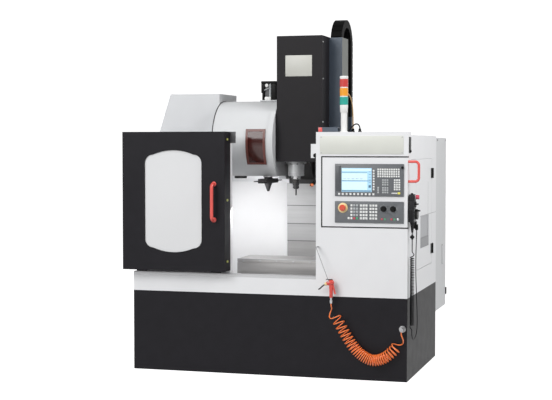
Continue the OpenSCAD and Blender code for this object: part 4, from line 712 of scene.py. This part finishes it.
def dress_tower():
    """Bare plate, screws, gasket, vent and switch on the control tower."""
    body, slot = "frame", "white_paint"
    plate_y = FRONT_Y - 2.5
    blocks("tower_plate", [((338.6, plate_y, 1360.6), (850.4, FRONT_Y, 1469.4))], PLATE, body, 0.6)
    corners = [(x, plate_y, z) for x in (347, 842) for z in (1368, 1462)]
    screws("tower_plate_screws", corners, FORWARD, 4, 2, SCREW, body)
    seals = [((346, -513, 917), (350, -500, 1348)), ((346, -490, 917), (353, -486, 1348))]
    seals += [((346, -512, z), (SIDE_X, -476, z + 6)) for z in (917.5, 1341.5)]
    blocks("panel_seal", seals, RUBBER, body)
    vent_x = SIDE_X + 0.8
    vent = [((SIDE_X, -476, z), (SIDE_X + 2, -412, z + 5)) for z in range(1372, 1460, 8)]
    vent.append(((SIDE_X, -480, 1366), (vent_x, -408, 1463)))
    blocks("tower_vent", vent, BLACK, body, 0.6)
    blocks("tower_vent_latch", [((vent_x, -446, 1372), (SIDE_X + 9, -434, 1384))], BLACK, body, 1)
    knob = [(0, 13.5), (2, 13.5), (3, 10.5), (6.5, 10)]
    turned("switch_knob", [((299, -470, 1351), FORWARD, knob)], BLACK, body)


def dress_signal_tower():
    """Pole, rings and lid of the signal tower, and its three ribbed lamps."""
    body, slot = "frame", "lamp_plastic"
    x, y = middle("signal_tower", 0), middle("signal_tower", 1)
    sides = 40
    lamp_height = 48
    lamps = [("green", 1656, LAMP_GREEN), ("amber", 1710, LAMP_AMBER), ("red", 1764, LAMP_RED)]
    pole = [(0, 24), (4, 24), (6, 18.5), (115, 18.5), (120, 23), (158, 24.5), (163, 24.5)]
    ring = [(0, 23.5), (6, 23.5)]
    lid = [(0, 25.5), (8, 25.5), (12, 22)]
    white = [((x, y, TOWER_TOP), UP, pole)]
    white += [((x, y, z + lamp_height), UP, ring) for name, z, material in lamps]
    white.append(((x, y, 1818), UP, lid))
    turned("signal_pole", white, LAMP_WHITE, body, sides, ["signal_tower"])
    ribs = [(0, 24), (1, 25.5)]
    for k in range(9):
        ribs += [(2.5 + 5 * k, 25.5), (5 + 5 * k, 24.7)]
    ribs += [(47.5, 25.2), (lamp_height, 24)]
    for name, z, material in lamps:
        turned("lamp_" + name, [((x, y, z), UP, ribs)], material, body, sides)


def dress_trough():
    end = ((320.6, -490.4, TOWER_TOP), (348, -449.6, 1522.4))
    blocks("trough_cap", [end], RED, "frame", 3)


# Head, spindle and table


def dress_head():
    """Bare plate, screws, bolts and bands of the nose, and the coolant nozzle's tip."""
    body, slot = "head", "black_paint"
    axis_x, axis_y = SPINDLE
    plate_y = HEAD_Y - 1.5
    nose = edge("spindle_cartridge", 2, 0)
    bolt_circle = 59
    bolts = 8
    blocks("head_plate", [((42, plate_y, 1846), (214, HEAD_Y, 1977))], HEAD_PLATE, body, 0.5)
    corners = [(x, plate_y, z) for x in (48, 208) for z in (1852, 1971)]
    screws("head_plate_screws", corners, FORWARD, 3, 1.2, HEAD_PLATE, body)
    side = [(HEAD_X, y, z) for y in (-215, 35) for z in (1380, 1560, 1830, 2060)]
    screws("head_side_screws", side, RIGHT, 5, 2.5, SCREW_WHITE, body)
    angles = [math.tau * (k + 0.5) / bolts for k in range(bolts)]
    flange = nose + 80
    ring = [(axis_x + bolt_circle * math.cos(a), axis_y + bolt_circle * math.sin(a), flange) for a in angles]
    bolt = [(0, 5.5), (5, 5.5), (6, 4.5)]
    turned("flange_bolts", [(p, DOWN, bolt) for p in ring], DARK_STEEL, body, 12)
    band = [(0, 52.5), (1.5, 52.7), (3, 52.5)]
    bands = [((axis_x, axis_y, nose + up), UP, band) for up in (6, 22, 66)]
    turned("nose_bands", bands, SCREW, body, 48)
    tip_length = 34
    tip = [(0, 11.8), (10, 11.5), (30, 6.2), (tip_length, 5)]
    tip_y = edge("coolant_nozzle", 1, 0) + tip_length
    tip_z = edge("coolant_nozzle", 2, 0) + 11
    start = (middle("coolant_nozzle", 0), tip_y, tip_z)
    turned("nozzle_tip", [(start, FORWARD, tip)], ORANGE, body, 24)


def dress_tool():
    """Dark collars and a ring of screws on the holder that sits in the spindle."""
    body, slot = "spindle", "steel"
    axis_x, axis_y = SPINDLE
    holder_top = edge("tool_holder", 2, 1)
    flange_r = 30
    count = 6
    collar = [(0, 19.5), (6, 20.5), (10, 20.5), (12, 19.5)]
    collars = [((axis_x, axis_y, holder_top - down), UP, collar) for down in (58, 40)]
    turned("holder_collars", collars, BLACK_IRON, body, 40)
    screw = [(0, 4), (1.2, 4), (2, 3)]
    ring = []
    for u, v in circle(1, count):
        place = (axis_x + flange_r * u, axis_y + flange_r * v, holder_top + 5)
        ring.append((place, (u, v, 0), screw))
    turned("collar_screws", ring, DARK_STEEL, body, 12)


def dress_covers():
    """Wiper edges of the sliding covers, and the darker fixed leaf below them."""
    paint_faces("inner_splash", FIXED_LEAF, (-66, 190, 509), (236, 191, 791))
    height = 4
    proud = 0.3
    for name, body in (("top", "head"), ("upper", "cover_upper"), ("lower", "cover_lower")):
        leaf = "z_cover_" + name
        x0, x1 = edge(leaf, 0, 0), edge(leaf, 0, 1)
        y, z = edge(leaf, 1, 0), edge(leaf, 2, 0)
        blocks("wiper_" + name, [((x0, y - proud, z), (x1, y, z + height))], GUIDE, body)


def dress_table():
    """Screws along the table's front, and a lighter lip along its front top edge as painted highlight."""
    places = [(TABLE_X + 40 + 110 * k, TABLE_Y, TABLE_TOP - 15) for k in range(7)]
    screws("table_screws", places, FORWARD, 6, 3, SCREW, "table")
    # A thin strip of less metallic, lighter-looking steel along the front top edge: painted highlight.
    lip = ((TABLE_X, TABLE_Y - 0.8, TABLE_TOP - 7), (TABLE_X1, TABLE_Y, TABLE_TOP))
    blocks("table_lip_highlight", [lip], COVER_STEEL, "table", 0.4)


# Door and enclosure


def arched_outline(width, height, bulge, corner, steps=10):
    """The door window's outline, centred: bulging top and bottom with round corners."""
    half = width / 2 - corner
    big = (half * half + bulge * bulge) / (2 * bulge)
    lean = math.degrees(math.asin(half / big))
    side = height / 2 - bulge - corner
    arcs = [
        (0, height / 2 - big, big, 90 - lean, 90 + lean), (-half, side, corner, 90 + lean, 180),
        (-half, -side, corner, 180, 270 - lean), (0, big - height / 2, big, 270 - lean, 270 + lean),
        (half, -side, corner, 270 + lean, 360), (half, side, corner, 0, 90 - lean),
    ]
    points = []
    for cx, cz, radius, start, end in arcs:
        for k in range(steps + 1):
            angle = math.radians(start + (end - start) * k / steps)
            points.append((cx + radius * math.cos(angle), cz + radius * math.sin(angle)))
    return points


def dress_door():
    """Rubber edging round the window and sockets under the handle."""
    window_x, window_z = middle("door_window", 0), middle("door_window", 2)
    width, height = 384, 642
    bulge = 26
    corner = 60
    lip = DOOR_Y - 1.5
    same_place = 0.01
    bm = bmesh.new()
    loops = []
    for grow, y in ((0, DOOR_Y), (0, lip), (-5, lip), (-5, DOOR_Y + 5)):
        outline = arched_outline(width + 2 * grow, height + 2 * grow, bulge, corner + grow)
        loops.append([bm.verts.new(mm(window_x + u, y, window_z + v)) for u, v in outline])
    bridge(bm, loops)
    bmesh.ops.remove_doubles(bm, verts=bm.verts, dist=same_place * MM)
    piece("window_edging", bm, RUBBER, "door")
    foot = [(0, 15), (4, 15), (7, 11)]
    tube_r = 10
    handle_x = middle("door_handle", 0)
    ends = (edge("door_handle", 2, 0) + tube_r, edge("door_handle", 2, 1) - tube_r)
    feet = [((handle_x, DOOR_Y, z), FORWARD, foot) for z in ends]
    turned("handle_feet", feet, RED, "door")


def dress_sides():
    """Seams, hinge leaves, painted faces and the small things on the right side."""
    body, slot = "frame", "white_paint"
    seam_x = SIDE_X + 0.6
    leaf_x = SIDE_X + 4.4
    hinge_half = 32
    hinge_end = hinge_half + 0.5
    hinge_z = (edge("side_hinges", 2, 0) + hinge_end, edge("side_hinges", 2, 1) - hinge_end)
    seams = [((SIDE_X, -404, 1327), (seam_x, -232, 1329.5)), ((SIDE_X, 346, 969), (seam_x, 506, 971.5))]
    blocks("side_seams", seams, GROOVE, body)
    fixed = [((SIDE_X, 346, z - hinge_half), (leaf_x, 382, z + hinge_half)) for z in hinge_z]
    blocks("hinge_leaves", fixed, BLACK, body, 1)
    moving = [((SIDE_X, 308, z - hinge_half), (leaf_x, 343.5, z + hinge_half)) for z in hinge_z]
    blocks("hinge_moving_leaves", moving, BLACK, "access_door", 1)
    folds = [((SIDE_X, 199, 972), (seam_x, 201, 1180)), ((SIDE_X, -90, 969), (seam_x, 340, 971.5))]
    blocks("door_folds", folds, GROOVE, "access_door")
    # The base's right side takes the duller copy of its charcoal paint as painted shade.
    paint_faces("base_plinth", BASE_SIDE_SHADE, (874, -516, -1), (876, 516, 501))
    paint_faces("cord_fittings", BLACK, (860, -400, 820), (990, -260, 990))
    # The side window is darker across its low part.
    paint_faces("side_window", SIDE_PANE_LOW, (860, -200, 700), (900, 300, 832))
    paint_faces("side_door", BLACK, (875.4, 300, 690), (900, 400, 1290))
    paint_faces("cabinet_door", BLACK, (845, 930, 360), (900, 970, 425))
    paint_faces("chain_duct", DUCT_GREY, (363, -60, 1390), (365, 120, 2100))
    # A darker band across the side window's low part.
    low_band = ((SIDE_X - 3, -73, 768), (SIDE_X + 0.2, 226, 830))
    blocks("side_pane_low_band", [low_band], SIDE_PANE_LOW, "access_door")
    latch = ((871.6, 930.2, 369.6), (880.4, 958.8, 418.4))
    blocks("latch_cover", [latch], BLACK, "cabinet_door", 3)
    grip = [((SIDE_X, 772, 602), (SIDE_X + 4, 790, 727))]
    grip += [((SIDE_X, 768, z), (SIDE_X + 6, 794, z + 10)) for z in (596, 723)]
    blocks("cabinet_grip", grip, PEARL, body, 2)
    heads = [(SIDE_X, y, 1448) for y in (560, 905)]
    screws("cabinet_screws", heads, RIGHT, 6, 3, GUIDE, body)


def dress_cabinet():
    """Faces of the drives, channels, contactors and transformer behind the cabinet's door."""
    body = "frame"
    first_x = 315
    fronts, terminals, grilles, keys, shows = [], [], [], [], []
    for i in range(5):
        x = first_x + 100 * i
        fronts.append(((x + 2, 705, 1100), (x + 78, 708, 1328)))
        terminals.append(((x + 4, 705, 1012), (x + 76, 711, 1096)))
        grilles += [((x + 14, 708, 1290 + 6 * k), (x + 66, 708.8, 1293 + 6 * k)) for k in range(5)]
        keys += [((x + 22, 708, 1150 + 14 * k), (x + 58, 709.5, 1160 + 14 * k)) for k in range(2)]
        shows.append(((x + 18, 708, 1196), (x + 62, 709, 1222)))
    blocks("drive_fronts", fronts, LAMP_WHITE, body, 2)
    blocks("drive_terminals", terminals, GUIDE, body, 2)
    blocks("drive_grilles", grilles, GUIDE, body)
    blocks("drive_keys", keys, UNIT_GREY, body, 0.8)
    blocks("drive_displays", shows, UNIT_DARK, body, 0.8)
    lids = [((297, 585, z + 1), (853, 587, z + 39)) for z in (684, 940, 1359)]
    blocks("channel_lids", lids, KEY_GREY, body, 2)
    faces, tabs = [], []
    for i in range(9):
        x = first_x + 53 * i
        faces.append(((x + 1, 610, 790), (x + 44, 613, 878)))
        for k in range(3):
            tab_x = x + 6 + 12 * k
            tabs += [((tab_x, 613, z), (tab_x + 8, 614.5, z + 10)) for z in (796, 862)]
        tabs.append(((x + 12, 613, 825), (x + 33, 617, 843)))
    blocks("contactor_faces", faces, UNIT_DARK, body, 2)
    blocks("contactor_tabs", tabs, SCREW, body, 0.6)
    coils = [((677 + 52 * k, 682, 330), (717 + 52 * k, 690, 468)) for k in range(3)]
    blocks("transformer_coils", coils, BROWN_FRAME, body, 4)
    paint_faces("electrical_cabinet", GUIDE, (660, 524, 303), (840, 686, 495))


# Tool changer


def drum_sweep(bm, profile, start, end, steps):
    """Sweeps (X, radius) corners round the drum's axis; the angles run from its front up and back."""
    axis_y, axis_z = DRUM_AXIS
    rings = []
    for k in range(steps + 1):
        angle = start + (end - start) * k / steps
        ring = [mm(x, axis_y - r * math.cos(angle), axis_z + r * math.sin(angle)) for x, r in profile]
        rings.append([bm.verts.new(p) for p in ring])
    bridge(bm, rings)
    bm.faces.new(rings[0])
    bm.faces.new(list(reversed(rings[-1])))


def dress_drum():
    """Frame of the tinted window, the band at the drum's right end and the seal against the hood."""
    inner = DRUM_R + 0.8
    outer = inner + 1.5
    lap = 1
    wide = 15
    left, right = edge("magazine_window", 0, 0) - lap, edge("magazine_window", 0, 1) + lap
    low, high = edge("magazine_window", 2, 0) - lap, edge("magazine_window", 2, 1) + lap
    bars = [(left, left + wide, low, high), (right - wide, right, low, high)]
    bars += [(left + wide, right - wide, z0, z1) for z0, z1 in ((low, low + 12), (high - wide, high))]
    bm = bmesh.new()
    for x0, x1, z0, z1 in bars:
        start, end = [math.asin((z - DRUM_AXIS[1]) / inner) for z in (z0, z1)]
        drum_sweep(bm, [(x0, inner), (x1, inner), (x1, outer), (x0, outer)], start, end, 24)
    piece("window_frame", bm, BROWN_FRAME, "frame")
    bent = [(-28, 0.3), (0.5, 0.3), (0.5, -9.5), (2.5, -9.5), (2.5, 1.3), (-28, 1.3)]
    band = [(DRUM_X1 + along, DRUM_R + out) for along, out in bent]
    strip = [(-1, -3.8), (4, -3.8), (4, -1.6), (-1, -1.6)]
    seal = [(DRUM_X + along, DRUM_R + out) for along, out in strip]
    for name, profile, material in (("drum_band", band, PEARL), ("hood_seal", seal, RUBBER)):
        bm = bmesh.new()
        drum_sweep(bm, profile, math.radians(-56), math.radians(123), 64)
        piece(name, bm, material, "frame")


def dress_air_unit():
    """Black frame, filter and regulator with a white knob and bowl, on the drum's top."""
    body, slot = "frame", "black_plastic"
    foot = ((AIR_X, -75, AIR_Z), (AIR_X1, -15, AIR_Z + 8))
    blocks("air_unit_plate", [foot], PEARL, body, 1, ["air_service_unit"])
    posts = [((-169, -74, 1811), (-66, -16, AIR_TOP)), ((-169, -70, 1750), (-143, -20, 1812))]
    posts += [((-164, -66, 1704), (-149, -24, 1751)), ((-101, -70, 1704), (-68, -20, 1812))]
    blocks("air_frame", posts, BLACK, body, 4)
    blocks("air_regulator", [((-144, -62, 1726), (-118, -26, 1812))], GUIDE, body, 3)
    blocks("air_bowl", [((-146, -70, 1704), (-103, -22, 1727))], LAMP_WHITE, body, 4)
    turned("air_tube", [((-110, -60, 1726), UP, [(0, 8), (86, 8)])], KEY_GREY, body)
    knob = [(0, 10), (6, 11.5), (14, 11.5), (17, 9.5)]
    turned("air_knob", [((-129, -62, 1799), FORWARD, knob)], LAMP_WHITE, body)
    lever = [(0, 3), (36, 3)]
    turned("air_lever", [((-147, -71, 1768), (1, 0, 0.45), lever)], KEY_GREY, body, 12)


# Pendant, air gun and the short cables


def dress_pendant():
    """Shell, boot, grip, dial and small parts of the pendant."""
    body, slot = "frame", "black_plastic"
    cord_x, cord_y = CORD
    shell = [((880, -517, 956), (914, -437, 1038)), ((881, -512, 1036), (913.6, -442, 1082))]
    shell += [((882, -507, 1080), (914, -447, 1122)), ((875, -470, 1075), (883, -442, 1121))]
    blocks("pendant_shell", shell, PENDANT, body, 5, ["pendant_body"])
    boot = [(0, 5)]
    for k in range(7):
        boot += [(6 + 8 * k, 5.8 + 1.1 * k), (10 + 8 * k, 7 + 1.1 * k)]
    boot.append((66, 14))
    turned("pendant_boot", [((cord_x, cord_y, LEAD_TOP), UP, boot)], RUBBER, body)
    button = [(0, 8), (6, 8), (8, 6)]
    turned("pendant_cap", [((cord_x, -490, 1121), UP, button)], BLACK, body)
    ribs = [((884 + 5 * k, -519, 965), (886 + 5 * k, -516, 1030)) for k in range(5)]
    blocks("pendant_grip", ribs, RUBBER, body, 0.6)
    shares = [0.12 + 0.76 * k / 14 for k in range(15)]
    ball = [(4 + 1.5 * k, 13.5 * math.sin(math.pi * share)) for k, share in enumerate(shares)]
    ball = [(0, 6)] + ball + [(29, 6)]
    turned("cord_ferrite", [((cord_x, cord_y, 852), UP, ball)], BLACK, body)
    collar = [(0, 15.5), (3, 15.5), (4, 14.5)]
    stop = (PENDANT_X, cord_y, middle("pendant_stop", 2))
    turned("pendant_stop_collar", [(stop, RIGHT, collar)], KEY_GREY, body)
    scale = [(0, 34.5), (0.3, 34.5)]
    dial = (PENDANT_X, cord_y, middle("pendant_dial", 2))
    turned("dial_scale", [(dial, RIGHT, scale)], KEY_GREY, body, 48)
    face = ((PENDANT_X, -511, 962), (PENDANT_X + 0.25, -443, 1032))
    blocks("pendant_face", [face], UNIT_DARK, body)
    corners = [(PENDANT_X, y, z) for y in (-508, -446) for z in (965, 1029)]
    screws("pendant_screws", corners, RIGHT, 3, 1.2, SCREW, body)


def dress_gun():
    """The air gun: grip, head with a thumb plate, bent nozzle and hose tail."""
    body, slot = "frame", "red_plastic"
    grip = [(0, 8.5), (3, 10.5), (40, 11), (75, 12), (95, 12), (100, 9)]
    head = [(0, 7), (3, 12.5), (10, 16.5), (26, 17.5), (36, 14.5), (44, 10), (47, 6)]
    shells = [((GUN_X, HOSE_Y, 497), UP, grip), ((437, HOSE_Y, 593), (-1, 0, -0.25), head)]
    turned("gun_shell", shells, GUN_RED, body, 32, ["gun_body"])
    thumb = ((389, HOSE_Y - 7, 605), (428, HOSE_Y + 7, 609))
    blocks("gun_thumb_plate", [thumb], BLACK, body, 1.5)
    tail = [(0, 6), (4, 8.5), (18, 8.5), (20, 6.5), (36, 6.5)]
    turned("gun_tail", [((GUN_X, HOSE_Y, HOSE_TOP), UP, tail)], SCREW, body)
    nose = [(0, 10.5), (10, 10), (14, 7)]
    turned("gun_nose", [((394, HOSE_Y, 582), (-1, 0, -0.5), nose)], RING_YELLOW, body)
    nozzle_xz = [(384, 577), (372, 570), (361, 560), (352, 551), (341, 545)]
    nozzle_r = 4.2
    tube = smooth_route([Vector((x, HOSE_Y, z)) for x, z in nozzle_xz], 6)
    bm = bmesh.new()
    for a, b in zip(tube, tube[1:]):
        lathe(bm, a, b - a, [(0, nozzle_r), ((b - a).length, nozzle_r)], 14)
    piece("gun_nozzle", bm, DARK_STEEL, body)
    eye = [(0, 6), (4, 6), (5, 5)]
    turned("gun_eye", [((407, HOSE_Y - 10, 592), FORWARD, eye)], SCREW, body, 20)


def lay_tower_cables():
    """The two short cables that leave the foot of the signal tower and its lamps."""
    lamp = [
        (478, -449, 1736), (481, -432, 1734), (490, -416, 1724), (501, -409, 1705), (509, -407, 1680),
        (514, -406, 1650), (517, -406, 1600), (518, -406, 1545), (518, -406, 1490),
    ]
    tower = [
        (499, -452, 1497), (508, -450, 1509), (519, -446, 1523), (532, -441, 1536), (545, -437, 1542),
        (557, -434, 1538), (564, -432, 1526), (566, -432, 1512), (566, -432, 1490),
    ]
    cables = [("lamp_cable", lamp, 7, AMBER_CABLE, "yellow_rubber")]
    cables.append(("tower_cable", tower, 8, RUBBER, "black_plastic"))
    for name, route, diameter, material, slot in cables:
        points = even(smooth_route([mm(*p) for p in route], 10), 40)
        cord_piece(name, points, diameter, material, slot, [],
                   far_end="object", stiffness="limp", lay="hanging")
    plug = [(0, 12), (4, 12), (5, 9), (18, 8), (22, 6)]
    glands = [((x, y, TOWER_TOP), UP, plug) for x, y in ((566, -432), (518, -406))]
    turned("cable_glands", glands, BLACK, "frame")


aim_camera()
set_stage()
dress_nodes()
lay_air_hose()
lay_pendant_cord()
dress_screen()
dress_screen_keys()
dress_machine_panel()
dress_tower()
dress_signal_tower()
dress_trough()
dress_head()
dress_tool()
dress_covers()
dress_table()
dress_door()
dress_sides()
dress_cabinet()
dress_drum()
dress_air_unit()
dress_pendant()
dress_gun()
lay_tower_cables()
